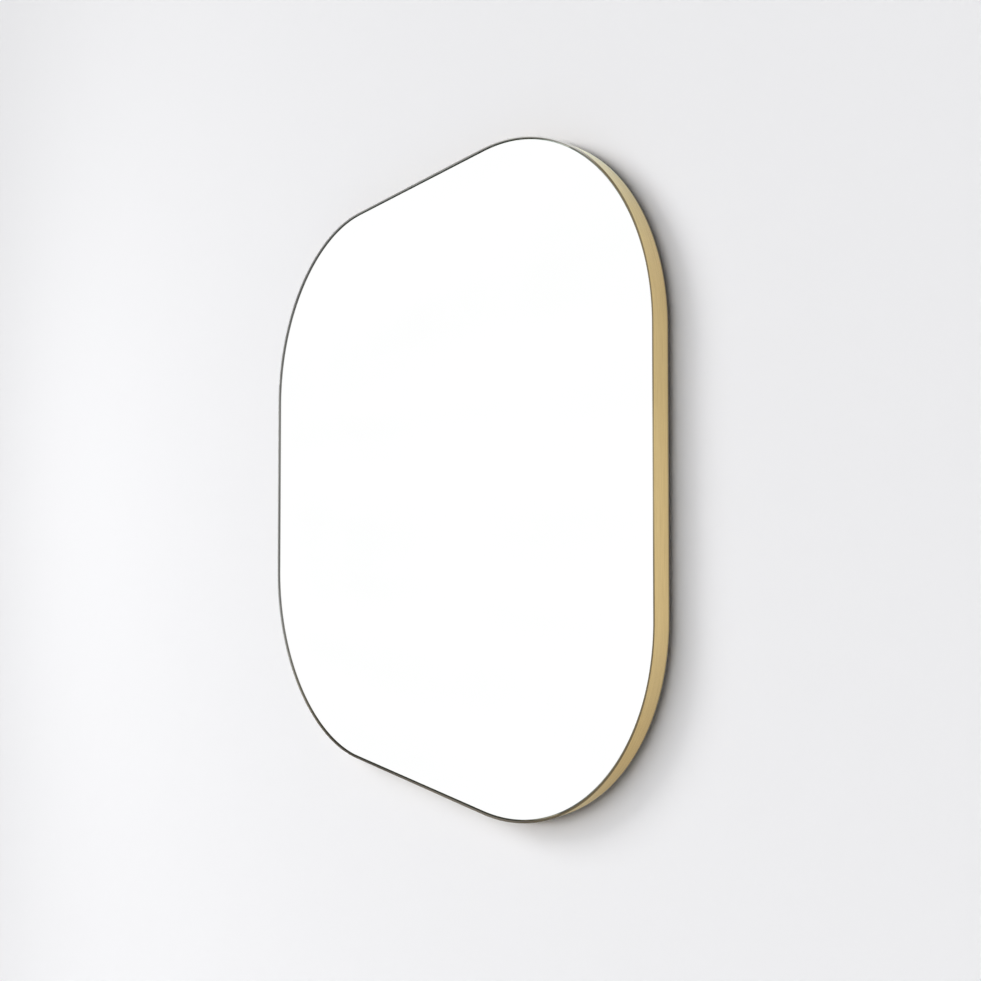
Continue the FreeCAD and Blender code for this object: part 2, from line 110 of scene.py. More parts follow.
LUG_SIDES: dict[str, Side] = {
    "lug_bottom_left": Side.BOTTOM,
    "lug_bottom_right": Side.BOTTOM,
    "lug_right_lower": Side.RIGHT,
    "lug_right_upper": Side.RIGHT,
    "lug_top_right": Side.TOP,
    "lug_top_left": Side.TOP,
    "lug_left_upper": Side.LEFT,
    "lug_left_lower": Side.LEFT,
}
STRAP_SIDES: dict[str, Side] = {"joint_strap": Side.BOTTOM}


# Node trees


class Graph:
    """Adds and joins the nodes of one tree."""

    def __init__(self, tree: Tree) -> None:
        """Keeps the tree that the nodes go into."""
        self.tree = tree

    def feed(self, socket: Socket, value: Any) -> None:
        """Gives an input its value.

        Args:
            socket: the input.
            value: an output to join to it, or a plain value; a colour may leave out its alpha.
        """
        if isinstance(value, Socket):
            self.tree.links.new(value, socket)
        elif socket.type == "RGBA" and len(value) == 3:
            socket.default_value = (*value, 1.0)
        else:
            socket.default_value = value

    def add(self, kind: str, inputs: Mapping[str | int, Any] | None = None, **settings: Any) -> Node:
        """Adds one node.

        Args:
            kind: the node's type.
            inputs: values or outputs for its inputs, by name or number.
            **settings: the node's own properties.

        Returns:
            The new node.
        """
        node = self.tree.nodes.new(kind)
        for name, value in settings.items():
            setattr(node, name, value)
        for key, value in (inputs or {}).items():
            self.feed(node.inputs[key], value)
        return node

    def output(self, kind: str, inputs: Mapping[str | int, Any] | None = None, **settings: Any) -> Socket:
        """Adds one node as add() does, and returns its first output."""
        return self.add(kind, inputs, **settings).outputs[0]

    def maths(self, operation: str, *values: Any) -> Socket:
        """Returns the result of a Math node with that operation on numbers or outputs."""
        return self.output("ShaderNodeMath", dict(enumerate(values)), operation=operation)

    def times(self, first: Any, second: Any) -> Socket:
        """Returns the product of two numbers or outputs."""
        return self.maths("MULTIPLY", first, second)

    def vector(self, x: Any = 0.0, y: Any = 0.0, z: Any = 0.0) -> Socket:
        """Returns a vector made of three numbers or outputs."""
        return self.output("ShaderNodeCombineXYZ", {0: x, 1: y, 2: z})

    def parts(self, vector: Socket) -> Sequence[Socket]:
        """Returns the three numbers of a vector."""
        return self.add("ShaderNodeSeparateXYZ", {0: vector}).outputs

    def vectors(self, operation: str, first: Socket, second: Any) -> Node:
        """Returns a Vector Math node with that operation on two vectors."""
        return self.add("ShaderNodeVectorMath", {0: first, 1: second}, operation=operation)

    def noise(self, vector: Socket, scale: Any, detail: float = 2.0, roughness: float = 0.5) -> Socket:
        """Returns a noise from 0 to 1 at a scale in cycles per metre."""
        inputs = {"Vector": vector, "Scale": scale, "Detail": detail, "Roughness": roughness}
        return self.output("ShaderNodeTexNoise", inputs)

    def ramp(self, value: Socket, low: Any, high: Any, start: Any = 0.0, end: Any = 1.0) -> Socket:
        """Eases a value from one range into another.

        Args:
            value: the value.
            low: where the range begins.
            high: where it ends.
            start: the result at low.
            end: the result at high.

        Returns:
            The eased value.
        """
        inputs = {0: value, 1: low, 2: high, 3: start, 4: end}
        return self.output("ShaderNodeMapRange", inputs, interpolation_type="SMOOTHSTEP")

    def mix(self, factor: Any, first: Any, second: Any) -> Socket:
        """Returns the number that is first at factor 0 and second at factor 1."""
        return self.output("ShaderNodeMix", {0: factor, 2: first, 3: second})

    def tint(self, factor: Any, first: Any, second: Any) -> Socket:
        """Returns the colour that is first at factor 0 and second at factor 1."""
        return self.add("ShaderNodeMix", {0: factor, 6: first, 7: second}, data_type="RGBA").outputs[2]


def new_tree(
    name: str, kind: str, inputs: Mapping[str, str], outputs: Mapping[str, str]
) -> tuple[Graph, Any, Any]:
    """Starts a node group with named sockets.

    Args:
        name: the group's name.
        kind: the type of tree.
        inputs: socket kinds by input name, such as Float or Vector.
        outputs: socket kinds by output name.

    Returns:
        The group's graph, the outputs of its input node and the inputs of its output node.
    """
    tree = bpy.data.node_groups.new(name, kind)
    for in_out, sockets in (("INPUT", inputs), ("OUTPUT", outputs)):
        for label, socket in sockets.items():
            tree.interface.new_socket(name=label, in_out=in_out, socket_type="NodeSocket" + socket)
    graph = Graph(tree)
    entry, leave = graph.add("NodeGroupInput"), graph.add("NodeGroupOutput")
    return graph, entry.outputs, leave.inputs


def shader_group(name: str, inputs: Sequence[str], outputs: Sequence[str]) -> tuple[Graph, Any, Any]:
    """Starts a shader group that works on a vector.

    Args:
        name: the group's name.
        inputs: the names of its numbers.
        outputs: the names of its results.

    Returns:
        The group's graph, the outputs of its input node and the inputs of its output node.
    """
    sockets = {"Vector": "Vector"} | dict.fromkeys(inputs, "Float")
    return new_tree(name, "ShaderNodeTree", sockets, dict.fromkeys(outputs, "Float"))


def geometry_tree(name: str, values: Mapping[str, Any]) -> tuple[Graph, Any, Any]:
    """Starts a geometry tree with an input for its places and one for every value.

    Args:
        name: the tree's name.
        values: the values that it will get, by input name.

    Returns:
        The tree's graph, the outputs of its input node and the inputs of its output node.
    """
    mesh = {"Geometry": "Geometry"}
    sockets = mesh | {label: SOCKET_KINDS[type(value)] for label, value in values.items()}
    return new_tree(name, "GeometryNodeTree", sockets, mesh)


def emptied(owner: Material | bpy.types.World) -> Tree:
    """Empties the node tree of a material or a world.

    Args:
        owner: the material or the world.

    Returns:
        Its tree.
    """
    owner.use_nodes = True
    owner.node_tree.nodes.clear()
    return owner.node_tree


class Effects:
    """The shader groups that several finishes share, and the materials made with them so far."""

    LINE_RANGE: Span = (0.28, 0.72)
    BAND_RANGE: Span = (0.3, 0.7)
    BAND_STRETCH: Point = (0.3, 0.22, 0.22)
    CLOUD_RANGE: Span = (0.32, 0.68)
    GRIT_SCALE: float = 2.3
    GRIT_SHARE: float = 0.4
    PEBBLE_SHARE: float = 0.6
    EDGE_TURN: Span = (0.995, 0.86)
    EDGE_SAMPLES: int = 6
    BROKEN_RANGE: Span = (0.38, 0.62)

    def __init__(self) -> None:
        """Builds each group once, and starts the list of finished materials."""
        self.materials: dict[str, Material] = {}
        self.brush = self._brush()
        self.mottle = self._mottle()
        self.speckle = self._speckle()
        self.wear = self._wear()

    def _brush(self) -> Tree:
        """Builds fine lines along the first axis of a vector, as brushing, drawing or extruding leaves them.

        Returns:
            The group.
        """
        graph, given, out = shader_group("brush_lines", ("Along", "Across"), ("Lines", "Bands"))
        stretch = graph.vector(given["Along"], given["Across"], given["Across"])
        stretched = graph.vectors("MULTIPLY", given["Vector"], stretch).outputs[0]
        broad = graph.vectors("MULTIPLY", stretched, self.BAND_STRETCH).outputs[0]
        lines = graph.noise(stretched, scale=1.0, detail=3.0, roughness=0.65)
        graph.feed(out["Lines"], graph.ramp(lines, *self.LINE_RANGE))
        graph.feed(out["Bands"], graph.ramp(graph.noise(broad, scale=1.0), *self.BAND_RANGE))
        return graph.tree

    def _mottle(self) -> Tree:
        """Builds a slow cloudy change from 0 to a depth, for dust, handling and tarnish.

        Returns:
            The group.
        """
        graph, given, out = shader_group("soft_mottle", ("Scale", "Depth"), ("Value",))
        cloud = graph.noise(given["Vector"], given["Scale"], detail=5.0, roughness=0.55)
        graph.feed(out["Value"], graph.ramp(cloud, *self.CLOUD_RANGE, 0.0, given["Depth"]))
        return graph.tree

    def _speckle(self) -> Tree:
        """Builds a pebbled height, for paint skin, rubber, foam and ground glass.

        Returns:
            The group.
        """
        graph, given, out = shader_group("fine_speckle", ("Scale",), ("Height",))
        place, scale = given["Vector"], given["Scale"]
        pebbles = graph.output("ShaderNodeTexVoronoi", {"Vector": place, "Scale": scale})
        grit = graph.noise(place, graph.times(scale, self.GRIT_SCALE), roughness=0.6)
        grit = graph.times(grit, self.GRIT_SHARE)
        graph.feed(out["Height"], graph.maths("MULTIPLY_ADD", pebbles, self.PEBBLE_SHARE, grit))
        return graph.tree

    def _wear(self) -> Tree:
        """Builds a broken mask along the edges of a piece, where handling rubs it.

        Returns:
            The group.
        """
        graph, given, out = shader_group("edge_wear", ("Radius", "Scale"), ("Mask",))
        eased = graph.output("ShaderNodeBevel", {"Radius": given["Radius"]}, samples=self.EDGE_SAMPLES)
        flat = graph.add("ShaderNodeNewGeometry").outputs["Normal"]
        turn = graph.vectors("DOT_PRODUCT", eased, flat).outputs["Value"]
        broken = graph.noise(given["Vector"], given["Scale"], detail=4.0, roughness=0.6)
        mask = graph.times(graph.ramp(turn, *self.EDGE_TURN), graph.ramp(broken, *self.BROKEN_RANGE))
        graph.feed(out["Mask"], mask)
        return graph.tree


# Finishes


class Coat(Graph):
    """The nodes of one finish: its shader, the place on the piece in metres and the shared effects there."""

    def __init__(self, material: Material, effects: Effects) -> None:
        """Empties a material's tree and sets its shader there.

        Args:
            material: the material.
            effects: the shared shader groups.
        """
        super().__init__(emptied(material))
        self.effects = effects
        self.shader = self.add("ShaderNodeBsdfPrincipled")
        self.add("ShaderNodeOutputMaterial", {"Surface": self.shader.outputs[0]}, is_active_output=True)
        here = self.add("ShaderNodeTexCoord").outputs
        self.place, self.facing = here["Object"], here["Normal"]

    def group(self, tree: Tree, **inputs: Any) -> Any:
        """Returns the outputs of a shader group at the place on the piece, or at a vector of its own."""
        return self.add("ShaderNodeGroup", {"Vector": self.place} | inputs, node_tree=tree).outputs

    def lines(self, along: float, across: float, vector: Socket | None = None) -> Any:
        """Returns the Lines and Bands of brushing along the first axis of the place, or of a vector."""
        place = self.place if vector is None else vector
        return self.group(self.effects.brush, Vector=place, Along=along, Across=across)

    def cloud(self, scale: float, depth: float = 1.0) -> Socket:
        """Returns soft clouds from 0 to a depth."""
        return self.group(self.effects.mottle, Scale=scale, Depth=depth)[0]

    def grain(self, scale: float) -> Socket:
        """Returns a pebbled height."""
        return self.group(self.effects.speckle, Scale=scale)[0]

    def worn(self, radius: float, scale: float) -> Socket:
        """Returns a broken mask along the edges of the piece."""
        return self.group(self.effects.wear, Radius=radius, Scale=scale)[0]

    def turned(self, rotation: Point) -> Socket:
        """Returns the place, turned about the axes."""
        return self.output("ShaderNodeMapping", {"Vector": self.place, "Rotation": rotation})

    def lay(self, inputs: Mapping[str, Any]) -> None:
        """Feeds inputs of the shader, by name."""
        for name, value in inputs.items():
            self.feed(self.shader.inputs[name], value)

    def bump(self, height: Socket, strength: float, depth: float) -> None:
        """Joins a height from 0 to 1 to the shader's normal, as a relief of that depth."""
        inputs = {"Strength": strength, "Distance": depth, "Height": height}
        self.lay({"Normal": self.output("ShaderNodeBump", inputs)})


@dataclass(frozen=True)
class Finish:
    """A finish made of nodes around one shader; each kind lays out its own nodes in paint().

    A relief is its strength and its depth. Brushed lines are cycles per metre along them and across them.
    """

    name: str

    def material(self, effects: Effects) -> Material:
        """Makes the material the first time it is asked for.

        Args:
            effects: the shared shader groups.

        Returns:
            The material.
        """
        if self.name not in effects.materials:
            made = effects.materials[self.name] = bpy.data.materials.new(self.name)
            self.paint(Coat(made, effects))
        return effects.materials[self.name]

    def paint(self, coat: Coat) -> None:
        """Lays out the nodes of the finish."""
        raise NotImplementedError


@dataclass(frozen=True)
class EdgeTones:
    """The front edge and lip of the band in painted shade and reflections, with a painted sheen to grey or
    warm in places.

    Heights are z and widths are x on the mirror in its place. A span runs from where a change begins to where
    it ends, and a sheen is how much of the painted dark gives way to painted light.
    """

    # dark and brown are painted shade and reflections, grey and warm a painted sheen, and bright a painted
    # highlight.
    dark: Colour = (0.080, 0.077, 0.076)
    brown: Colour = (0.086, 0.067, 0.038)
    grey: Colour = (0.52, 0.51, 0.49)
    warm: Colour = (0.36, 0.295, 0.18)
    bright: Colour = (0.76, 0.76, 0.75)
    crown: Span = (0.08, 0.14)
    crown_sheen: float = 0.20
    foot: Span = (-0.36, -0.53)
    foot_sheen: float = 0.24
    foot_sheen_begins: Span = (-0.09, 0.06)
    foot_sheen_ends: Span = (0.21, 0.14)
    left_to_right: Span = (-0.10, 0.10)
    rise: Span = (-0.50, -0.05)
    rise_sheen: Span = (0.18, 0.26)
    sides: Span = (0.18, 0.345)
    side_sheen: Span = (0.66, 0.24)
    side_lag: Span = (-0.025, 0.045)
    side_lag_height: Span = (-0.40, 0.05)
    # A painted highlight round a spot on the right side of the band.
    highlight_reach: float = 0.09
    highlight_sheen: float = 0.75
    band_sheen: float = 0.10
    warm_width: Span = (0.05, 0.28)
    warm_crown: float = 0.3
    warm_foot: float = 0.58
    bright_width: Span = (0.08, 0.17)
    bright_start: Span = (0.30 * MM, -0.35 * MM)
    bright_blur: Span = (-0.15 * MM, 0.15 * MM)

    def painted_sheen(self, coat: Coat, crown: Socket, foot: Socket) -> Socket:
        """Finds how much painted sheen lightens the sides, the crown and the foot of the edge.

        Args:
            coat: the nodes of the finish.
            crown: the mask of the top.
            foot: the mask of the bottom.

        Returns:
            The painted sheen, from 0 for dark.
        """
        x, _, z = coat.parts(coat.place)
        lag = coat.ramp(z, *self.side_lag_height, *self.side_lag)
        sides = coat.ramp(coat.maths("SUBTRACT", coat.maths("ABSOLUTE", x), lag), *self.sides)
        rise = coat.ramp(z, *self.rise, 0.0, coat.ramp(x, *self.left_to_right, *self.rise_sheen))
        sheen = coat.maths("MULTIPLY_ADD", sides, coat.ramp(x, *self.left_to_right, *self.side_sheen), rise)
        sheen = coat.maths("MULTIPLY_ADD", crown, self.crown_sheen, sheen)
        sheen_along_foot = coat.times(coat.ramp(x, *self.foot_sheen_begins), coat.ramp(x, *self.foot_sheen_ends))
        return coat.maths("MULTIPLY_ADD", coat.times(foot, sheen_along_foot), self.foot_sheen, sheen)

    def tone(self, coat: Coat, outward: Socket, from_highlight: Socket, bands: Socket) -> Socket:
        """Mixes the painted shade, sheen and highlights of the edge.

        Args:
            coat: the nodes of the finish.
            outward: how far out a place lies in the bar's section.
            from_highlight: how far it is from the centre of a painted highlight on the right side.
            bands: the broad bands of the brushing.

        Returns:
            The edge's colour.
        """
        x, _, z = coat.parts(coat.place)
        crown, foot = coat.ramp(z, *self.crown), coat.ramp(z, *self.foot)
        sheen = self.painted_sheen(coat, crown, foot)
        # Painted highlight: the edge lightens round a spot on the right side.
        sheen = coat.maths("ADD", sheen, coat.ramp(from_highlight, self.highlight_reach, 0.0, 0.0, self.highlight_sheen))
        sheen = coat.maths("MULTIPLY_ADD", bands, self.band_sheen, sheen)
        warmth = coat.times(coat.ramp(x, *self.warm_width), coat.ramp(crown, 0.0, 1.0, 1.0, self.warm_crown))
        warmth = coat.maths("MAXIMUM", warmth, coat.times(foot, self.warm_foot))
        dark, light = coat.tint(warmth, self.dark, self.brown), coat.tint(warmth, self.grey, self.warm)
        # A painted highlight along the outer edge of the crown.
        start = coat.ramp(x, *self.bright_width, *self.bright_start)
        bright = coat.ramp(coat.maths("SUBTRACT", outward, start), *self.bright_blur)
        return coat.tint(coat.times(bright, crown), coat.tint(sheen, dark, light), self.bright)


@dataclass(frozen=True)
class BrushedBrass(Finish):
    """Lacquered brass bar brushed along its length; its front edge and lip are painted shade and reflections,
    its back edge painted shade.

    Spans in millimetres are depths behind the face that they name. The front is half the bar's depth.
    """

    name: str = "brushed_brass"
    pale: Colour = (0.890, 0.672, 0.289)
    deep: Colour = (0.715, 0.518, 0.203)
    tarnish: Colour = (0.61, 0.435, 0.168)
    # Painted shade for the back edge of the band at the wall.
    wall_shade: Colour = (0.16, 0.105, 0.042)
    edge: EdgeTones = field(default_factory=EdgeTones)
    brushing: Span = (26.0, 5200.0)
    tarnish_scale: float = 7.0
    tarnish_depth: float = 0.35
    roughness: Span = (0.46, 0.33)
    relief: Span = (0.22, 0.02 * MM)
    lacquer: float = 1.0
    lacquer_roughness: float = 0.12
    front: float = 10.0 * MM
    half_thickness: float = 1.0 * MM
    # Painted shade on the outer face, growing towards its back edge at the wall.
    wall_shade_outside: Span = (0.25 * MM, 0.08 * MM)
    wall_shade_back: Span = (2.4 * MM, 0.4 * MM)
    wall_shade_share: float = 0.90
    # The rim and the lip are painted dark as shade and reflections.
    rim_front: Span = (0.55 * MM, 0.30 * MM)
    lip_inside: Span = (0.35 * MM, 0.15 * MM)
    lip_front: Span = (2.8 * MM, 2.6 * MM)
    # A painted highlight on the rim round a spot on the right side.
    rim_highlight_outside: Span = (0.34 * MM, 0.12 * MM)
    rim_highlight_reach: Span = (0.26, 0.13)
    highlight_centre: Point = (0.35, -0.02, -0.19)

    def paint(self, coat: Coat) -> None:
        """Lays out brushed lines along the bar, a slow tarnish, and painted shade, sheen and highlights on
        its edges.

        Args:
            coat: the nodes of the finish.
        """
        run = coat.add("ShaderNodeAttribute", attribute_name="band_run").outputs["Fac"]
        section = coat.add("ShaderNodeAttribute", attribute_name="band_section").outputs["Vector"]
        outward, backward, _ = coat.parts(section)
        forward = coat.times(backward, -1.0)
        from_front = coat.maths("SUBTRACT", self.front, forward)
        from_back = coat.maths("SUBTRACT", self.front, backward)
        from_outside = coat.maths("SUBTRACT", self.half_thickness, outward)
        from_inside = coat.maths("ADD", self.half_thickness, outward)
        from_highlight = coat.vectors("DISTANCE", coat.place, self.highlight_centre).outputs["Value"]

        lines = coat.lines(*self.brushing, coat.vector(run, outward, forward))
        strip = coat.tint(lines["Lines"], self.deep, self.pale)
        tarnished = coat.times(lines["Bands"], coat.cloud(self.tarnish_scale, self.tarnish_depth))
        strip = coat.tint(tarnished, strip, self.tarnish)
        # Painted shade: the outer face darkens towards its back edge at the wall.
        near_wall_shade = coat.ramp(from_back, *self.wall_shade_back, 0.0, self.wall_shade_share)
        strip = coat.tint(coat.times(coat.ramp(from_outside, *self.wall_shade_outside), near_wall_shade), strip, self.wall_shade)

        # Painted highlight: the dark rim gives way on its outer side round that spot.
        rim_highlight = coat.times(
            coat.ramp(from_outside, *self.rim_highlight_outside), coat.ramp(from_highlight, *self.rim_highlight_reach))
        # The rim and the lip are painted dark as shade and reflections.
        rim = coat.ramp(from_front, *self.rim_front)
        rim = coat.maths("SUBTRACT", rim, coat.times(rim, rim_highlight))
        lip = coat.times(coat.ramp(from_inside, *self.lip_inside), coat.ramp(from_front, *self.lip_front))
        mask = coat.maths("MAXIMUM", rim, lip)
        edge = self.edge.tone(coat, outward, from_highlight, lines["Bands"])
        coat.lay({
            "Base Color": coat.tint(mask, strip, edge),
            "Roughness": coat.ramp(lines["Lines"], 0.0, 1.0, *self.roughness),
            "Coat Weight": coat.ramp(mask, 0.0, 1.0, self.lacquer, 0.0),
            "Coat Roughness": self.lacquer_roughness,
            "Metallic": 1.0,
        })
        coat.bump(lines["Lines"], *self.relief)


@dataclass(frozen=True)
class FittingBrass(Finish):
    """Bare rolled brass of the lugs and the joint strap, browned by the heat of soldering."""

    name: str = "soldered_brass"
    bright: Colour = (0.78, 0.60, 0.30)
    dull: Colour = (0.56, 0.41, 0.19)
    heated: Colour = (0.36, 0.20, 0.12)
    rolling: Span = (300.0, 2600.0)
    stain_scale: float = 160.0
    stain_depth: float = 0.75
    wear_radius: float = 0.5 * MM
    wear_scale: float = 900.0
    roughness: Span = (0.34, 0.56)
    relief: Span = (0.2, 0.02 * MM)

    def paint(self, coat: Coat) -> None:
        """Lays out rolling lines, heat stains and bright edges.

        Args:
            coat: the nodes of the finish.
        """
        lines = coat.lines(*self.rolling)["Lines"]
        stain = coat.cloud(self.stain_scale, self.stain_depth)
        tone = coat.tint(stain, coat.tint(lines, self.dull, self.bright), self.heated)
        coat.lay({
            "Base Color": coat.tint(coat.worn(self.wear_radius, self.wear_scale), tone, self.bright),
            "Roughness": coat.ramp(stain, 0.0, self.stain_depth, *self.roughness),
            "Metallic": 1.0,
        })
        coat.bump(lines, *self.relief)


@dataclass(frozen=True)
class SilveredFace(Finish):
    """The mirror's face: silver behind clear glass, with the faintest haze from wiping in broad strokes."""

    name: str = "silvered_face"
    clear: Colour = (0.985, 0.988, 0.986)
    hazy: Colour = (0.968, 0.972, 0.971)
    haze_scale: float = 3.5
    strokes: Span = (4.0, 60.0)
    roughness: Span = (0.006, 0.018)

    def paint(self, coat: Coat) -> None:
        """Lays out a haze in broad wiping strokes.

        Args:
            coat: the nodes of the finish.
        """
        wiped = coat.times(coat.cloud(self.haze_scale), coat.lines(*self.strokes)["Bands"])
        coat.lay({
            "Base Color": coat.tint(wiped, self.clear, self.hazy),
            "Roughness": coat.ramp(wiped, 0.0, 1.0, *self.roughness),
            "Metallic": 1.0,
        })


@dataclass(frozen=True)
class CloudedCoat(Finish):
    """Two tones in soft clouds over a fine grain, with another tone on the edges where the piece wears."""

    first: Colour
    second: Colour
    roughness: Span
    cloud_scale: float
    grain_scale: float
    relief: Span
    cloud_depth: float = 1.0
    grain_top: float = 0.8
    gloss: Gloss = Gloss.CLOUDS
    worn: Colour | None = None
    wear_radius: float = 0.0
    wear_scale: float = 0.0
    metallic: float = 0.0
    ior: float = 1.5

    def paint(self, coat: Coat) -> None:
        """Lays out the clouds, the worn edges and the grain.

        Args:
            coat: the nodes of the finish.
        """
        cloud, grain = coat.cloud(self.cloud_scale, self.cloud_depth), coat.grain(self.grain_scale)
        tone = coat.tint(cloud, self.first, self.second)
        if self.worn is not None:
            tone = coat.tint(coat.worn(self.wear_radius, self.wear_scale), tone, self.worn)
        on_clouds = self.gloss is Gloss.CLOUDS
        followed, top = (cloud, self.cloud_depth) if on_clouds else (grain, self.grain_top)
        coat.lay({
            "Base Color": tone,
            "Roughness": coat.ramp(followed, 0.0, top, *self.roughness),
            "Metallic": self.metallic,
            "IOR": self.ior,
        })
        coat.bump(grain, *self.relief)


@dataclass(frozen=True)
class PaintedBoard(Finish):
    """Fibreboard rolled with black paint: a pebbled skin, pale dust and brown board at its sawn edges."""

    name: str = "rolled_board_paint"
    paint_dark: Colour = (0.017, 0.017, 0.018)
    paint_light: Colour = (0.046, 0.045, 0.044)
    dust: Colour = (0.30, 0.28, 0.25)
    board: Colour = (0.30, 0.195, 0.105)
    lanes: Span = (5.0, 85.0)
    lane_turn: Point = (0.0, QUARTER, 0.0)
    scratches: Span = (22.0, 760.0)
    scratch_turn: Point = (0.0, 0.42, 0.0)
    scratch_range: Span = (0.86, 1.0)
    scratch_depth: float = 0.30
    scratch_roughness: float = 0.4
    patch_scale: float = 9.0
    patch_range: Span = (0.55, 1.0)
    speck_scale: float = 1500.0
    speck_range: Span = (0.62, 0.74)
    speck_depth: float = 0.28
    dust_scale: float = 6.0
    dust_depth: float = 0.10
    sawn_range: Span = (0.75, 0.45)
    skin_scale: float = 420.0
    roughness: Span = (0.36, 0.58)
    relief: Span = (0.55, 0.25 * MM)

    def paint(self, coat: Coat) -> None:
        """Lays out upright roller lanes, a little dust, faint scuffs and the bare board of the sawn edges.

        Args:
            coat: the nodes of the finish.
        """
        lanes = coat.lines(*self.lanes, coat.turned(self.lane_turn))
        scratches = coat.lines(*self.scratches, coat.turned(self.scratch_turn))["Lines"]
        scratches = coat.ramp(scratches, *self.scratch_range, 0.0, self.scratch_depth)
        patches = coat.cloud(self.patch_scale)
        scuffed = coat.times(scratches, coat.ramp(patches, *self.patch_range))
        specks = coat.noise(coat.place, self.speck_scale, roughness=0.6)
        specks = coat.times(coat.ramp(specks, *self.speck_range, 0.0, self.speck_depth), patches)
        dusty = coat.maths("MAXIMUM", coat.cloud(self.dust_scale, self.dust_depth), specks)
        tone = coat.tint(lanes["Bands"], self.paint_dark, self.paint_light)
        tone = coat.tint(scuffed, coat.tint(dusty, tone, self.dust), self.dust)
        across = coat.maths("ABSOLUTE", coat.parts(coat.facing)[1])
        gloss = coat.ramp(lanes["Lines"], 0.0, 1.0, *self.roughness)
        coat.lay({
            "Base Color": coat.tint(coat.ramp(across, *self.sawn_range), tone, self.board),
            "Roughness": coat.maths("MULTIPLY_ADD", scuffed, self.scratch_roughness, gloss),
        })
        coat.bump(coat.grain(self.skin_scale), *self.relief)


@dataclass(frozen=True)
class ExtrudedAluminium(Finish):
    """Mill-finished aluminium with die lines along x, saw marks on its ends and bright edges worn by rubbing.
    """

    name: str = "extruded_aluminium"
    bright: Colour = (0.80, 0.81, 0.82)
    grey: Colour = (0.60, 0.61, 0.63)
    stain: Colour = (0.46, 0.46, 0.46)
    die: Span = (5.0, 2400.0)
    saw: Span = (60.0, 2600.0)
    saw_turn: Point = (0.0, QUARTER, 0.5)
    end_range: Span = (0.6, 0.9)
    stain_scale: float = 24.0
    stain_depth: float = 0.45
    wear_radius: float = 0.45 * MM
    wear_scale: float = 420.0
    roughness: Span = (0.44, 0.27)
    relief: Span = (0.25, 0.03 * MM)

    def paint(self, coat: Coat) -> None:
        """Lays out die lines, saw marks, stains and bright edges.

        Args:
            coat: the nodes of the finish.
        """
        die = coat.lines(*self.die)
        saw = coat.lines(*self.saw, coat.turned(self.saw_turn))["Lines"]
        on_end = coat.ramp(coat.maths("ABSOLUTE", coat.parts(coat.facing)[0]), *self.end_range)
        lines = coat.mix(on_end, die["Lines"], saw)
        stained = coat.times(coat.cloud(self.stain_scale, self.stain_depth), die["Bands"])
        tone = coat.tint(stained, coat.tint(lines, self.grey, self.bright), self.stain)
        coat.lay({
            "Base Color": coat.tint(coat.worn(self.wear_radius, self.wear_scale), tone, self.bright),
            "Roughness": coat.ramp(lines, 0.0, 1.0, *self.roughness),
            "Metallic": 1.0,
        })
        coat.bump(lines, *self.relief)


SOFT_SOLDER = CloudedCoat(
    "soft_solder", (0.74, 0.73, 0.70), (0.40, 0.38, 0.34), (0.26, 0.52),
    cloud_scale=420.0, grain_scale=2600.0, relief=(0.15, 0.05 * MM), metallic=1.0,
)
ZINC_PLATE = CloudedCoat(
    "zinc_plate", (0.70, 0.72, 0.74), (0.66, 0.62, 0.52), (0.24, 0.42),
    cloud_scale=380.0, grain_scale=5200.0, relief=(0.12, 0.03 * MM), gloss=Gloss.GRAIN,
    worn=(0.30, 0.30, 0.30), wear_radius=0.25 * MM, wear_scale=1500.0, metallic=1.0,
)
GROUND_EDGE = CloudedCoat(
    "ground_glass_edge", (0.60, 0.68, 0.64), (0.34, 0.48, 0.42), (0.38, 0.62),
    cloud_scale=120.0, grain_scale=4200.0, relief=(0.3, 0.04 * MM), gloss=Gloss.GRAIN, ior=1.52,
)
BACK_PAINT = CloudedCoat(
    "mirror_back_paint", (0.40, 0.41, 0.40), (0.33, 0.34, 0.33), (0.45, 0.62),
    cloud_scale=30.0, grain_scale=1800.0, relief=(0.3, 0.04 * MM),
)
SAFETY_FILM = CloudedCoat(
    "clear_safety_film", (0.80, 0.82, 0.84), (0.70, 0.72, 0.75), (0.30, 0.48),
    cloud_scale=18.0, grain_scale=1200.0, relief=(0.3, 0.04 * MM),
)
FOAM_TAPE = CloudedCoat(
    "tape_foam", (0.72, 0.71, 0.68), (0.58, 0.57, 0.54), (0.80, 0.92),
    cloud_scale=140.0, grain_scale=1800.0, relief=(0.3, 0.2 * MM),
)
MOULDED_RUBBER = CloudedCoat(
    "moulded_rubber", (0.026, 0.026, 0.027), (0.062, 0.061, 0.06), (0.52, 0.76),
    cloud_scale=320.0, grain_scale=1900.0, relief=(0.4, 0.08 * MM), cloud_depth=0.6,
    worn=(0.062, 0.061, 0.06), wear_radius=0.9 * MM, wear_scale=500.0,
)


# Shapes


def link_object(name: str, data: Any) -> Piece:
    """Adds an object to the scene, at its origin.

    Args:
        name: the object's name.
        data: its mesh, lamp or camera.

    Returns:
        The object.
    """
    made = bpy.data.objects.new(name, data)
    bpy.context.scene.collection.objects.link(made)
    return made


def sizes_of(assembly: Any, *names: str) -> dict[str, Any]:
    """Returns some sizes of a sub-assembly by input name, so that eased_edge goes into Eased Edge."""
    return {name.replace("_", " ").title(): getattr(assembly, name) for name in names}


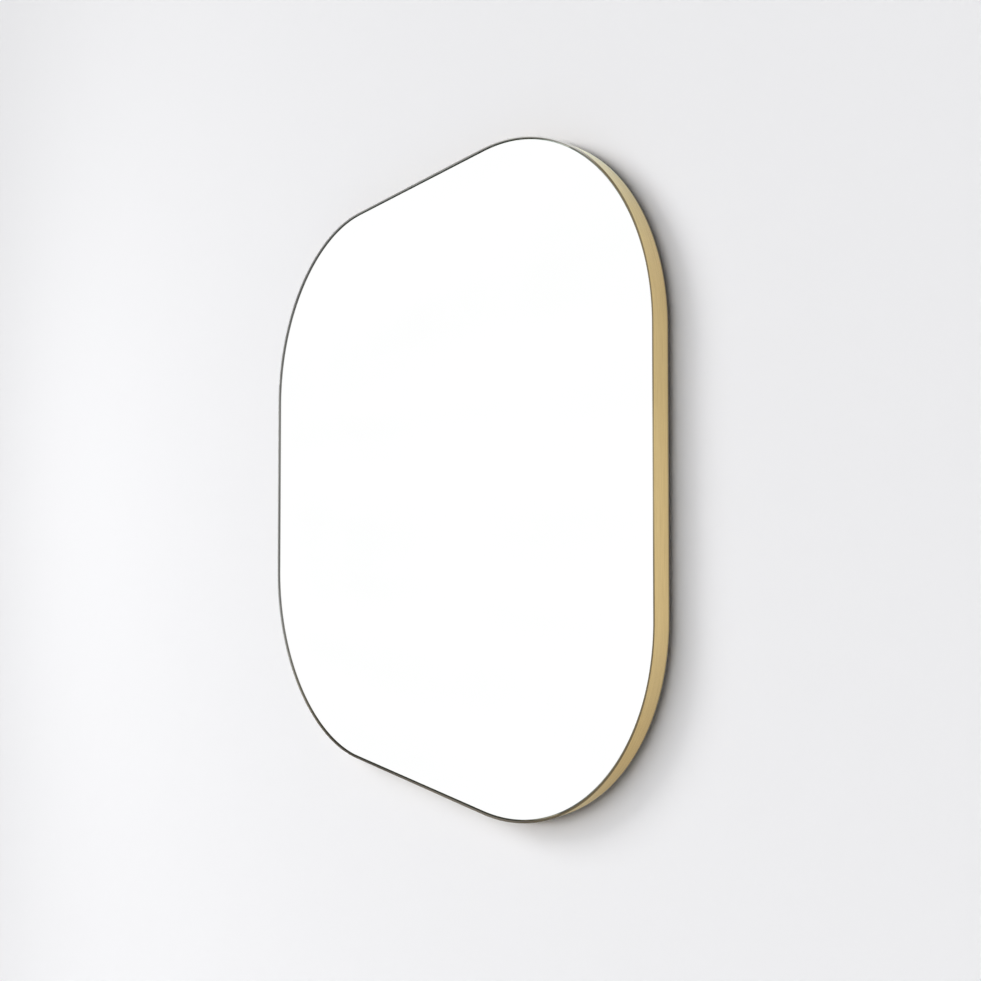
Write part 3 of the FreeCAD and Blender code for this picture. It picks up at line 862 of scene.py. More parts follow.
def grown(
    name: str,
    tree: Tree,
    values: Mapping[str, Any],
    points: Iterable[Point] = (),
    turns: Sequence[float] = (),
) -> Piece:
    """Runs a geometry tree and keeps its result as a plain mesh.

    Args:
        name: the piece's name.
        tree: the geometry tree.
        values: its inputs by name.
        points: the places that it works from.
        turns: a turn about y for each place, read in the tree as "turn".

    Returns:
        The piece, with no modifier left on it.
    """
    seeds = bpy.data.meshes.new(name + "_places")
    seeds.from_pydata(list(points), [], [])
    if turns:
        seeds.attributes.new("turn", "FLOAT", "POINT").data.foreach_set("value", list(turns))
    piece = link_object(name, seeds)
    modifier = piece.modifiers.new(tree.name, "NODES")
    modifier.node_group = tree
    for item in tree.interface.items_tree:
        if item.in_out == "INPUT" and item.name in values:
            modifier[item.identifier] = values[item.name]
    graph = bpy.context.evaluated_depsgraph_get()
    mesh = bpy.data.meshes.new_from_object(piece.evaluated_get(graph), depsgraph=graph)
    piece.modifiers.clear()
    piece.data = mesh
    mesh.name = name
    mesh.materials.clear()
    mesh.materials.append(values["Material"])
    mesh.polygons.foreach_set("material_index", [0] * len(mesh.polygons))
    bpy.data.meshes.remove(seeds)
    return piece


def point_path(graph: Graph, points: Sequence[tuple[Any, Any]]) -> Socket:
    """Draws an open curve through points.

    Args:
        graph: the geometry tree.
        points: the x and y of the points, in order.

    Returns:
        The curve.
    """
    line = graph.output("GeometryNodeMeshLine", {"Count": len(points)})
    pick = graph.add("GeometryNodeIndexSwitch", data_type="VECTOR")
    while len(pick.index_switch_items) < len(points):
        pick.index_switch_items.new()
    graph.feed(pick.inputs[0], graph.output("GeometryNodeInputIndex"))
    for number, point in enumerate(points, start=1):
        graph.feed(pick.inputs[number], graph.vector(*point))
    placed = graph.output("GeometryNodeSetPosition", {"Geometry": line, "Position": pick.outputs[0]})
    return graph.output("GeometryNodeMeshToCurve", {"Mesh": placed})


def rounded(graph: Graph, curve: Socket, radius: Any, steps: Any) -> Socket:
    """Returns a curve with arcs of that radius and number of steps at its corners."""
    inputs = {"Curve": curve, "Count": steps, "Radius": radius, "Limit Radius": True}
    return graph.output("GeometryNodeFilletCurve", inputs, mode="POLY")


def noted(graph: Graph, curve: Socket, kind: str, value: Socket) -> tuple[Socket, Socket]:
    """Notes a value on a curve before it is swept.

    Args:
        graph: the geometry tree.
        curve: the curve.
        kind: the type of the value.
        value: what is noted at each of its points.

    Returns:
        The curve and the noted value.
    """
    note = graph.add("GeometryNodeCaptureAttribute")
    note.capture_items.new(kind, "Noted")
    graph.feed(note.inputs["Geometry"], curve)
    graph.feed(note.inputs["Noted"], value)
    return note.outputs["Geometry"], note.outputs["Noted"]


def swept(graph: Graph, path: Socket, section: Socket) -> Socket:
    """Returns the closed mesh of a section drawn along a path."""
    inputs = {"Curve": path, "Profile Curve": section, "Fill Caps": True}
    return graph.output("GeometryNodeCurveToMesh", inputs)


def moved(graph: Graph, mesh: Socket, by: Any, turn: Any = (0.0, 0.0, 0.0)) -> Socket:
    """Returns a mesh turned about the axes and then moved."""
    return graph.output("GeometryNodeTransform", {"Geometry": mesh, "Translation": by, "Rotation": turn})


def at_places(graph: Graph, places: Socket, mesh: Socket, turn: Any) -> Socket:
    """Returns an instance of a mesh at every place, turned about the axes."""
    inputs = {"Points": places, "Instance": mesh, "Rotation": turn}
    return graph.output("GeometryNodeInstanceOnPoints", inputs)


def welded(graph: Graph, shells: Iterable[Socket]) -> Socket:
    """Joins shells to one mesh and merges their doubles.

    Args:
        graph: the geometry tree.
        shells: the shells.

    Returns:
        The mesh.
    """
    together = graph.add("GeometryNodeJoinGeometry")
    for shell in shells:
        graph.feed(together.inputs[0], shell)
    inputs = {"Geometry": together.outputs[0], "Distance": TREE_MERGE}
    return graph.output("GeometryNodeMergeByDistance", inputs)


def combined(graph: Graph, solids: Iterable[Socket], body: Socket | None = None) -> Socket:
    """Unites solids, or takes them from a body.

    Args:
        graph: the geometry tree.
        solids: the solids.
        body: what they are taken from, if anything.

    Returns:
        The resulting solid.
    """
    operation = "UNION" if body is None else "DIFFERENCE"
    node = graph.add("GeometryNodeMeshBoolean", operation=operation, solver="EXACT")
    if body is not None:
        graph.feed(node.inputs["Mesh 1"], body)
    for solid in solids:
        graph.feed(node.inputs["Mesh 2"], solid)
    return node.outputs[0]


def sharp_above(graph: Graph, mesh: Socket, angle: float) -> Socket:
    """Shades a mesh smooth apart from its sharper edges.

    Args:
        graph: the geometry tree.
        mesh: the mesh.
        angle: edges that turn by more than this many degrees stay sharp.

    Returns:
        The shaded mesh.
    """
    smooth = graph.output("GeometryNodeSetShadeSmooth", {"Geometry": mesh, "Shade Smooth": True})
    turn = graph.output("GeometryNodeInputMeshEdgeAngle")
    sharp = graph.output("FunctionNodeCompare", {0: turn, 1: math.radians(angle)})
    inputs = {"Geometry": smooth, "Selection": sharp, "Shade Smooth": False}
    return graph.output("GeometryNodeSetShadeSmooth", inputs, domain="EDGE")


def finish_tree(graph: Graph, mesh: Socket, material: Socket, out: Any) -> Tree:
    """Ends a geometry tree: instances become mesh, and the mesh gets its material.

    Args:
        graph: the geometry tree.
        mesh: its result.
        material: the input that holds the material.
        out: the inputs of its output node.

    Returns:
        The tree.
    """
    real = graph.output("GeometryNodeRealizeInstances", {"Geometry": mesh})
    dressed = graph.output("GeometryNodeSetMaterial", {"Geometry": real, "Material": material})
    graph.feed(out["Geometry"], dressed)
    return graph.tree


def rounded_loop(width: float, height: float, radius: float, steps: int) -> list[tuple[float, float]]:
    """Lists the points of a rounded rectangle about the origin, anticlockwise.

    Args:
        width: its width.
        height: its height.
        radius: its corner radius.
        steps: how many chords each corner has.

    Returns:
        The points.
    """
    points = []
    for quarter, (sx, sz) in enumerate(((1, 1), (-1, 1), (-1, -1), (1, -1))):
        cx, cz = sx * (width / 2 - radius), sz * (height / 2 - radius)
        for step in range(steps + 1):
            angle = (quarter + step / steps) * QUARTER
            points.append((cx + radius * math.cos(angle), cz + radius * math.sin(angle)))
    return points


def closed_piece(form: bmesh.types.BMesh, name: str, sharp_angle: float) -> Piece:
    """Merges a form's doubles, turns its faces outwards and makes it a piece.

    Args:
        form: the form, which is freed.
        name: the piece's name.
        sharp_angle: edges that turn by more than this many degrees stay sharp.

    Returns:
        The piece.
    """
    bmesh.ops.remove_doubles(form, verts=form.verts, dist=FORM_MERGE)
    bmesh.ops.recalc_face_normals(form, faces=form.faces)
    mesh = bpy.data.meshes.new(name)
    form.to_mesh(mesh)
    form.free()
    mesh.shade_smooth()
    mesh.set_sharp_from_angle(angle=math.radians(sharp_angle))
    return link_object(name, mesh)


def dress_node(node: str, material: Material) -> None:
    """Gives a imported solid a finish, in the slots that it has.

    Args:
        node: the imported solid.
        material: the finish.
    """
    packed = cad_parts[node]
    if not packed.material_slots:
        packed.data.materials.append(material)
    for held in packed.material_slots:
        held.material = material
    LOG.info("%s keeps its solid, in %s", node, material.name)


def settle(piece: Piece, body: Body, slot: Slot, *nodes: str) -> None:
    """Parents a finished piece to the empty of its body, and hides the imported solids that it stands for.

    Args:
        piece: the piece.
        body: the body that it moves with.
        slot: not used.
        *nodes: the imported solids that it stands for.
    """
    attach(piece, body.value)
    if nodes:
        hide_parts(*nodes)
    LOG.info("%s: %d faces, rides on %s", piece.name, len(piece.data.polygons), body.value)


# The mirror


@dataclass
class Assembly:
    """A sub-assembly of the mirror, which gets its finishes from the shared effects."""

    effects: Effects

    def build(self) -> None:
        """Builds or dresses the pieces, and parents the pieces that it builds to their bodies."""
        raise NotImplementedError


@dataclass
class BrassBand(Assembly):
    """The flat bar bent over its flat to a rounded square, open by a hair at the seam in the bottom."""

    corner_radius: float = 225.0 * MM
    thickness: float = 2.0 * MM
    eased_edge: float = 0.4 * MM
    seam: float = 0.2 * MM
    corner_steps: int = 64
    edge_steps: int = 5
    sharp_angle: float = 6.0
    finish: BrushedBrass = field(default_factory=BrushedBrass)

    def tree(self, values: Mapping[str, Any]) -> Tree:
        """Builds the tree that sweeps the bar's section along its bent line.

        Args:
            values: its inputs by name.

        Returns:
            The tree.
        """
        graph, given, out = geometry_tree("bent_band", values)
        thickness = given["Thickness"]
        right, top = (
            graph.times(graph.maths("SUBTRACT", given[name], thickness), 0.5) for name in ("Width", "Height"))
        left, bottom = (graph.times(value, -1.0) for value in (right, top))
        open_right, open_left = (graph.times(given["Seam"], share) for share in (0.5, -0.5))
        corners = ((right, bottom), (right, top), (left, top), (left, bottom))
        path = point_path(graph, ((open_right, bottom), *corners, (open_left, bottom)))
        bend = graph.maths("MULTIPLY_ADD", thickness, -0.5, given["Corner Radius"])
        path = rounded(graph, path, bend, given["Corner Steps"])
        path = graph.output("GeometryNodeSetCurveNormal", {"Curve": path}, mode="Z_UP")
        length = graph.add("GeometryNodeSplineParameter").outputs["Length"]
        path, run = noted(graph, path, "FLOAT", length)

        inputs = {"Width": thickness, "Height": given["Depth"]}
        bar = graph.output("GeometryNodeCurvePrimitiveQuadrilateral", inputs)
        bar = rounded(graph, bar, given["Eased Edge"], given["Edge Steps"])
        bar, section = noted(graph, bar, "VECTOR", graph.output("GeometryNodeInputPosition"))

        band = swept(graph, path, bar)
        for name, kind, value in (("band_run", "FLOAT", run), ("band_section", "FLOAT_VECTOR", section)):
            inputs = {"Geometry": band, "Name": name, "Value": value}
            band = graph.output("GeometryNodeStoreNamedAttribute", inputs, data_type=kind, domain="POINT")
        band = sharp_above(graph, band, self.sharp_angle)
        band = moved(graph, band, given["Centre"], (QUARTER, 0.0, 0.0))
        return finish_tree(graph, band, given["Material"], out)

    def build(self) -> None:
        """Builds the band in place of its solid."""
        low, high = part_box("frame_band")
        size = high - low
        finish = replace(self.finish, front=size.y / 2, half_thickness=self.thickness / 2)
        fields = ("corner_radius", "thickness", "eased_edge", "seam", "corner_steps", "edge_steps")
        values = sizes_of(self, *fields) | {
            "Width": size.x, "Height": size.z, "Depth": size.y,
            "Centre": list((low + high) / 2), "Material": finish.material(self.effects),
        }
        settle(grown("brass_band", self.tree(values), values), Body.MIRROR, Slot.BAND, "frame_band")


@dataclass
class SilveredGlass(Assembly):
    """The glass: a silvered face, a ground edge with an arris on both sides, and paint behind."""

    arris: float = 0.5 * MM
    corner_steps: int = 64
    sharp_angle: float = 12.0
    face: SilveredFace = field(default_factory=SilveredFace)

    def build(self) -> None:
        """Builds the glass as rings from its face to its back."""
        low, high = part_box("mirror_glass")
        centre, size = (low + high) / 2, high - low
        radius = BrassBand.corner_radius - (low.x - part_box("frame_band")[0].x)
        arris = self.arris
        form = bmesh.new()
        loops = []
        for inset, y in ((arris, low.y), (0.0, low.y + arris), (0.0, high.y - arris), (arris, high.y)):
            outline = rounded_loop(size.x - 2 * inset, size.z - 2 * inset, radius - inset, self.corner_steps)
            loops.append([form.verts.new((centre.x + x, y, centre.z + z)) for x, z in outline])
        form.faces.new(loops[0]).material_index = 0
        for near, far in zip(loops, loops[1:]):
            for index in range(len(near)):
                after = (index + 1) % len(near)
                form.faces.new((near[index], near[after], far[after], far[index])).material_index = 1
        form.faces.new(loops[-1]).material_index = 2
        glass = closed_piece(form, "mirror_pane", self.sharp_angle)
        for finish in (self.face, GROUND_EDGE, BACK_PAINT):
            glass.data.materials.append(finish.material(self.effects))
        settle(glass, Body.MIRROR, Slot.GLASS, "mirror_glass")


@dataclass
class LaminatedBack(Assembly):
    """What lies behind the glass: safety film, strips of foam tape and the painted board."""

    board: PaintedBoard = field(default_factory=PaintedBoard)

    def build(self) -> None:
        """Gives the film, the tape and the board their finishes."""
        dress_node("safety_film", SAFETY_FILM.material(self.effects))
        for node in sorted(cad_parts):
            if node.startswith("tape_strip"):
                dress_node(node, FOAM_TAPE.material(self.effects))
        dress_node("backing_board", self.board.material(self.effects))


@dataclass
class SolderedFittings(Assembly):
    """The bent lugs and the strap over the seam, with the solder that holds them to the band."""

    bead: float = 0.55 * MM
    bed: float = 4.0 * MM
    corner: float = 0.9 * MM
    corner_steps: int = 4
    step: float = 0.5 * MM
    facets: int = 10
    roughening: float = 0.16 * MM
    lump_scale: float = 700.0
    sharp_angle: float = 60.0
    brass: FittingBrass = field(default_factory=FittingBrass)

    def tree(self, values: Mapping[str, Any]) -> Tree:
        """Builds the tree that lays a bead of solder round three sides of each foot.

        Args:
            values: its inputs by name.

        Returns:
            The tree.
        """
        graph, given, out = geometry_tree("solder_bead", values)
        right, left = (graph.times(given["Width"], share) for share in (0.5, -0.5))
        near, far = given["Near"], given["Far"]
        path = point_path(graph, ((left, near), (left, far), (right, far), (right, near)))
        path = rounded(graph, path, given["Corner"], given["Corner Steps"])
        inputs = {"Curve": path, "Length": given["Step"]}
        path = graph.output("GeometryNodeResampleCurve", inputs, mode="LENGTH")
        inputs = {"Resolution": given["Facets"], "Radius": given["Bead"]}
        tube = swept(graph, path, graph.output("GeometryNodeCurvePrimitiveCircle", inputs))
        lumps = graph.noise(graph.output("GeometryNodeInputPosition"), given["Lump Scale"])
        swell = graph.times(graph.maths("SUBTRACT", lumps, 0.5), given["Roughening"])
        inputs = {0: graph.output("GeometryNodeInputNormal"), "Scale": swell}
        pushed = graph.output("ShaderNodeVectorMath", inputs, operation="SCALE")
        tube = graph.output("GeometryNodeSetPosition", {"Geometry": tube, "Offset": pushed})
        tube = sharp_above(graph, tube, self.sharp_angle)
        turn = graph.output("GeometryNodeInputNamedAttribute", {"Name": "turn"}, data_type="FLOAT")
        placed = at_places(graph, given["Geometry"], tube, graph.vector(0.0, turn, 0.0))
        return finish_tree(graph, placed, given["Material"], out)

    @staticmethod
    def foot(node: str, side: Side) -> Point:
        """Finds the middle of a fitting's foot, on the band's inner face.

        Args:
            node: the fitting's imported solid.
            side: the side of the band that it stands on.

        Returns:
            The place, with y at the wall.
        """
        low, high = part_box(node)
        middle = (low + high) / 2
        return {
            Side.BOTTOM: (middle.x, 0.0, low.z),
            Side.RIGHT: (high.x, 0.0, middle.z),
            Side.TOP: (middle.x, 0.0, high.z),
            Side.LEFT: (low.x, 0.0, middle.z),
        }[side]

    def build(self) -> None:
        """Dresses the lugs and the strap and solders them to the band."""
        for node in (*LUG_SIDES, *STRAP_SIDES):
            dress_node(node, self.brass.material(self.effects))
        fields = ("bead", "corner", "corner_steps", "step", "facets", "roughening", "lump_scale")
        values = sizes_of(self, *fields) | {"Material": SOFT_SOLDER.material(self.effects)}
        tree: Tree | None = None
        for name, sides, bed in (("lug_solder", LUG_SIDES, self.bed), ("strap_solder", STRAP_SIDES, None)):
            low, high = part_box(next(iter(sides)))
            near = low.y if bed is None else high.y - bed
            values |= {"Width": high.x - low.x, "Near": near, "Far": high.y}
            tree = tree or self.tree(values)
            places = [self.foot(node, side) for node, side in sides.items()]
            beads = grown(name, tree, values, places, [side.value for side in sides.values()])
            settle(beads, Body.MIRROR, Slot.FITTING)


@dataclass
class ScrewSet:
    """One set of screws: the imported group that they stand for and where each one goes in, as x and z."""

    name: str
    node: str
    places: Sequence[tuple[float, float]]
    seed: int


@dataclass
class PanScrews(Assembly):
    """Pan-head screws with cross recesses, driven towards the front.

    The dome's rings are shares of the head's radius and height, and the shank grips a share of its height.
    """

    head_radius: float = 3.5 * MM
    head_height: float = 2.2 * MM
    shank_radius: float = 1.75 * MM
    shank_grip: float = 0.2
    recess_length: float = 3.9 * MM
    recess_width: float = 0.95 * MM
    recess_depth: float = 1.3 * MM
    facets: int = 40
    sharp_angle: float = 38.0
    lug_inset: float = 10.0 * MM
    rail_pitch: float = 120.0 * MM
    lug_seed: int = 11
    rail_seed: int = 5
    dome: Sequence[Span] = (
        (1.0, 0.0), (1.0, 0.34), (0.95, 0.60), (0.82, 0.82), (0.60, 0.95), (0.34, 1.0),
    )

    def head(self, graph: Graph, given: Any) -> Socket:
        """Turns the screw's head from the rings of its dome.

        Args:
            graph: the geometry tree.
            given: the outputs of its input node.

        Returns:
            The closed head, standing on z = 0.
        """
        radius, height, facets = given["Head Radius"], given["Head Height"], given["Facets"]
        shells = []
        for (wide, low), (narrow, high) in zip(self.dome, self.dome[1:]):
            inputs = {
                "Vertices": facets, "Radius Bottom": graph.times(radius, wide),
                "Radius Top": graph.times(radius, narrow), "Depth": graph.times(height, high - low),
            }
            ring = graph.output("GeometryNodeMeshCone", inputs, fill_type="NONE")
            shells.append(moved(graph, ring, graph.vector(z=graph.times(height, low))))
        for (share, level), flipped in ((self.dome[-1], False), (self.dome[0], True)):
            inputs = {"Vertices": facets, "Radius": graph.times(radius, share)}
            disc = graph.output("GeometryNodeMeshCircle", inputs, fill_type="NGON")
            if flipped:
                disc = graph.output("GeometryNodeFlipFaces", {"Mesh": disc})
            shells.append(moved(graph, disc, graph.vector(z=graph.times(height, level))))
        return welded(graph, shells)

    def tree(self, values: Mapping[str, Any]) -> Tree:
        """Builds the tree that turns one screw, cuts its recess and drives it at every place.

        Args:
            values: its inputs by name.

        Returns:
            The tree.
        """
        graph, given, out = geometry_tree("pan_screw", values)
        height, length, radius = given["Head Height"], given["Shank Length"], given["Shank Radius"]
        inputs = {
            "Vertices": given["Facets"], "Radius Top": radius, "Radius Bottom": radius,
            "Depth": graph.maths("MULTIPLY_ADD", height, given["Shank Grip"], length),
        }
        shank = graph.output("GeometryNodeMeshCone", inputs)
        shank = moved(graph, shank, graph.vector(z=graph.times(length, -1.0)))
        whole = combined(graph, (self.head(graph, given), shank))
        long, wide = given["Recess Length"], given["Recess Width"]
        # Half of each cutter stands above the head.
        deep = graph.times(given["Recess Depth"], 2.0)
        slots = []
        for sides in ((long, wide), (wide, long)):
            slot = graph.output("GeometryNodeMeshCube", {"Size": graph.vector(*sides, deep)})
            slots.append(moved(graph, slot, graph.vector(z=height)))
        screw = sharp_above(graph, combined(graph, slots, whole), self.sharp_angle)

        driven = at_places(graph, given["Geometry"], screw, (-QUARTER, 0.0, 0.0))
        turn = graph.add("FunctionNodeRandomValue", {2: 0.0, 3: QUARTER, "Seed": given["Seed"]}).outputs[1]
        inputs = {"Instances": driven, "Rotation": graph.vector(z=turn), "Local Space": True}
        driven = graph.output("GeometryNodeRotateInstances", inputs)
        return finish_tree(graph, driven, given["Material"], out)

    def lug_places(self) -> list[tuple[float, float]]:
        """Finds where the screws of the lugs go in, inwards from the feet of the lugs.

        Returns:
            The places, as x and z.
        """
        places = []
        for node, side in LUG_SIDES.items():
            x, _, z = SolderedFittings.foot(node, side)
            across, up = math.sin(side.value), math.cos(side.value)
            places.append((x + self.lug_inset * across, z + self.lug_inset * up))
        return places

    def rail_places(self) -> list[tuple[float, float]]:
        """Returns where the screws of the hanging rail go in, along the middle of their packed group."""
        low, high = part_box("hang_rail_screws")
        return [(step * self.rail_pitch, (low.z + high.z) / 2) for step in (-1, 0, 1)]

    def build(self) -> None:
        """Builds both sets of screws in place of their packed groups."""
        sets = (
            ScrewSet("lug_pan_screws", "lug_screws", self.lug_places(), self.lug_seed),
            ScrewSet("rail_pan_screws", "hang_rail_screws", self.rail_places(), self.rail_seed),
        )
        fields = (
            "head_radius", "head_height", "shank_radius", "shank_grip",
            "recess_length", "recess_width", "recess_depth", "facets",
        )
        values = sizes_of(self, *fields) | {"Material": ZINC_PLATE.material(self.effects)}
        tree: Tree | None = None
        for screws in sets:
            low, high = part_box(screws.node)
            seat = high.y - self.head_height
            values |= {"Shank Length": seat - low.y, "Seed": screws.seed}
            tree = tree or self.tree(values)
            piece = grown(screws.name, tree, values, [(x, seat, z) for x, z in screws.places])
            settle(piece, Body.MIRROR, Slot.SCREW, screws.node)


@dataclass
class RailPlan:
    """One rail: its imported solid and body, which way its lip stands off its base, and its holes along x."""

    name: str
    node: str
    body: Body
    outward: int
    holes: Sequence[float]
    hole_radius: float

    def seat(self, base_height: float) -> Point:
        """Finds the middle of the base's seating face: the wall rail hangs low, the hanging rail high.

        Args:
            base_height: the height of the base.

        Returns:
            The place.
        """
        low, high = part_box(self.node)
        if self.outward < 0:
            return (0.0, high.y, low.z + base_height / 2)
        return (0.0, low.y, high.z - base_height / 2)

    def turn(self) -> Point:
        """Returns the turn that lays the section down with its lip up at the wall, or down at the board."""
        return (-self.outward * QUARTER, 0.0, self.outward * QUARTER)


@dataclass
class HangingRails(Assembly):
    """The two interlocking rails: one Z section, upright on the wall and upside down on the board.

    The drill's reach is how many plates long it is.
    """

    plate: float = 3.0 * MM
    base_height: float = 22.0 * MM
    lip_offset: float = 4.35 * MM
    lip_reach: float = 12.0 * MM
    eased_edge: float = 0.45 * MM
    edge_steps: int = 4
    hole_facets: int = 40
    drill_reach: float = 2.4
    sharp_angle: float = 12.0
    finish: ExtrudedAluminium = field(default_factory=ExtrudedAluminium)
    plans: Sequence[RailPlan] = (
        RailPlan("wall_z_rail", "wall_rail", Body.WALL, -1, (-0.12, -0.05, 0.05, 0.12), 2.5 * MM),
        RailPlan("hanging_z_rail", "hang_rail", Body.MIRROR, 1, (-0.12, 0.0, 0.12), 2.0 * MM),
    )

    def tree(self, values: Mapping[str, Any]) -> Tree:
        """Builds the tree that extrudes the Z section and drills it at every place.

        Args:
            values: its inputs by name.

        Returns:
            The tree.
        """
        graph, given, out = geometry_tree("z_rail", values)
        plate, inner, length = given["Plate"], given["Lip Offset"], given["Length"]
        top, foot = (graph.times(given["Base Height"], share) for share in (0.5, -0.5))
        web = graph.maths("SUBTRACT", top, plate)
        crest = graph.maths("ADD", top, given["Lip Reach"])
        outer = graph.maths("ADD", inner, plate)
        outline = (
            (0.0, foot), (0.0, top), (inner, top), (inner, crest),
            (outer, crest), (outer, web), (plate, web), (plate, foot),
        )
        ring = point_path(graph, outline)
        ring = graph.output("GeometryNodeSetSplineCyclic", {"Geometry": ring, "Cyclic": True})
        ring = rounded(graph, ring, given["Eased Edge"], given["Edge Steps"])
        end = graph.output("GeometryNodeFillCurve", {"Curve": ring}, mode="NGONS")
        end = moved(graph, end, graph.vector(z=graph.times(length, -0.5)))
        inputs = {"Mesh": end, "Offset": (0.0, 0.0, 1.0), "Offset Scale": length, "Individual": False}
        drawn = graph.output("GeometryNodeExtrudeMesh", inputs, mode="FACES")
        rail = welded(graph, (drawn, graph.output("GeometryNodeFlipFaces", {"Mesh": end})))
        rail = moved(graph, rail, given["Base"], given["Turn"])

        inputs = {
            "Vertices": given["Hole Facets"], "Radius": given["Hole Radius"],
            "Depth": graph.times(plate, given["Drill Reach"]),
        }
        drill = graph.output("GeometryNodeMeshCylinder", inputs)
        drills = at_places(graph, given["Geometry"], drill, (QUARTER, 0.0, 0.0))
        drills = graph.output("GeometryNodeRealizeInstances", {"Geometry": drills})
        rail = sharp_above(graph, combined(graph, (drills,), rail), self.sharp_angle)
        return finish_tree(graph, rail, given["Material"], out)

    def build(self) -> None:
        """Builds both rails in place of their solids."""
        fields = (
            "plate", "base_height", "lip_offset", "lip_reach", "eased_edge", "edge_steps",
            "hole_facets", "drill_reach",
        )
        values = sizes_of(self, *fields) | {"Material": self.finish.material(self.effects)}
        tree: Tree | None = None
        for plan in self.plans:
            low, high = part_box(plan.node)
            _, y, z = seat = plan.seat(self.base_height)
            middle = y + plan.outward * self.plate / 2
            values |= {
                "Length": high.x - low.x, "Hole Radius": plan.hole_radius,
                "Base": list(seat), "Turn": list(plan.turn()),
            }
            tree = tree or self.tree(values)
            rail = grown(plan.name, tree, values, [(x, middle, z) for x in plan.holes])
            settle(rail, plan.body, Slot.RAIL, plan.node)


@dataclass
class Bumpers(Assembly):
    """The two rubber bumpers that keep the foot of the mirror off the wall."""

    rounding: float = 1.6 * MM
    rounding_steps: int = 8
    foot_chamfer: float = 0.3 * MM
    dimple_radius: float = 5.5 * MM
    dimple_depth: float = 0.5 * MM
    dimple_rings: Sequence[float] = (1.0, 0.85, 0.7, 0.55, 0.4, 0.25, 0.1, 0.0)
    taper: float = 0.5 * MM
    segments: int = 64
    sharp_angle: float = 35.0

    def profile(self, radius: float, height: float) -> list[tuple[float, float]]:
        """Draws half the section of a bumper.

        Args:
            radius: its radius at the board.
            height: how far it stands off the board.

        Returns:
            Points as radius and distance from the board, from the axis at the board to the axis at the wall.
        """
        shoulder, brow = radius - self.taper - self.rounding, height - self.rounding
        arc = []
        for step in range(self.rounding_steps + 1):
            angle = step / self.rounding_steps * QUARTER
            arc.append((shoulder + self.rounding * math.cos(angle), brow + self.rounding * math.sin(angle)))
        bowl = [
            (self.dimple_radius * share, height - self.dimple_depth * (1 - share * share) ** 2)
            for share in self.dimple_rings
        ]
        return [(0.0, 0.0), (radius - self.foot_chamfer, 0.0), (radius, self.foot_chamfer), *arc, *bowl]

    def build(self) -> None:
        """Turns each bumper in place of its solid."""
        for node in ("bumper_left", "bumper_right"):
            low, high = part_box(node)
            axis = (low + high) / 2
            profile = self.profile((high.x - low.x) / 2, high.y - low.y)
            form = bmesh.new()
            rim = [form.verts.new((axis.x + r, low.y + y, axis.z)) for r, y in profile]
            edges = [form.edges.new(pair) for pair in zip(rim, rim[1:])]
            bmesh.ops.spin(
                form, geom=[*rim, *edges], cent=(axis.x, 0.0, axis.z), axis=(0.0, 1.0, 0.0),
                dvec=(0.0, 0.0, 0.0), angle=2 * math.pi, steps=self.segments, use_merge=True)
            piece = closed_piece(form, "rubber_" + node, self.sharp_angle)
            piece.data.materials.append(MOULDED_RUBBER.material(self.effects))
            settle(piece, Body.MIRROR, Slot.RUBBER, node)


# The stage


@dataclass
class SoftLight:
    """A large soft lamp: where it stands, what it points at, its size and its power in watts."""

    name: str
    place: Point
    aim: Point
    size: float
    power: float

    def build(self) -> None:
        """Adds the lamp to the scene, unseen in the mirror."""
        data = bpy.data.lights.new(self.name, "AREA")
        data.shape, data.size, data.energy = "SQUARE", self.size, self.power
        lamp = link_object(self.name, data)
        lamp.location = self.place
        lamp.rotation_mode = "QUATERNION"
        lamp.rotation_quaternion = (Vector(self.aim) - Vector(self.place)).to_track_quat("-Z", "Y")
        lamp.visible_glossy = False


@dataclass
class BroadSky:
    """Even light from one bay of a large window, with angles in degrees.

    It comes from the front, turned to the left and raised, and looks as wide as its spread.
    """

    name: str
    turn: float
    rise: float
    spread: float
    strength: float

    def build(self) -> None:
        """Adds the light to the scene, unseen in the mirror."""
        data = bpy.data.lights.new(self.name, "SUN")
        data.angle, data.energy = math.radians(self.spread), self.strength
        lamp = link_object(self.name, data)
        lamp.rotation_euler = (QUARTER - math.radians(self.rise), 0.0, -math.radians(self.turn))
        lamp.visible_glossy = False


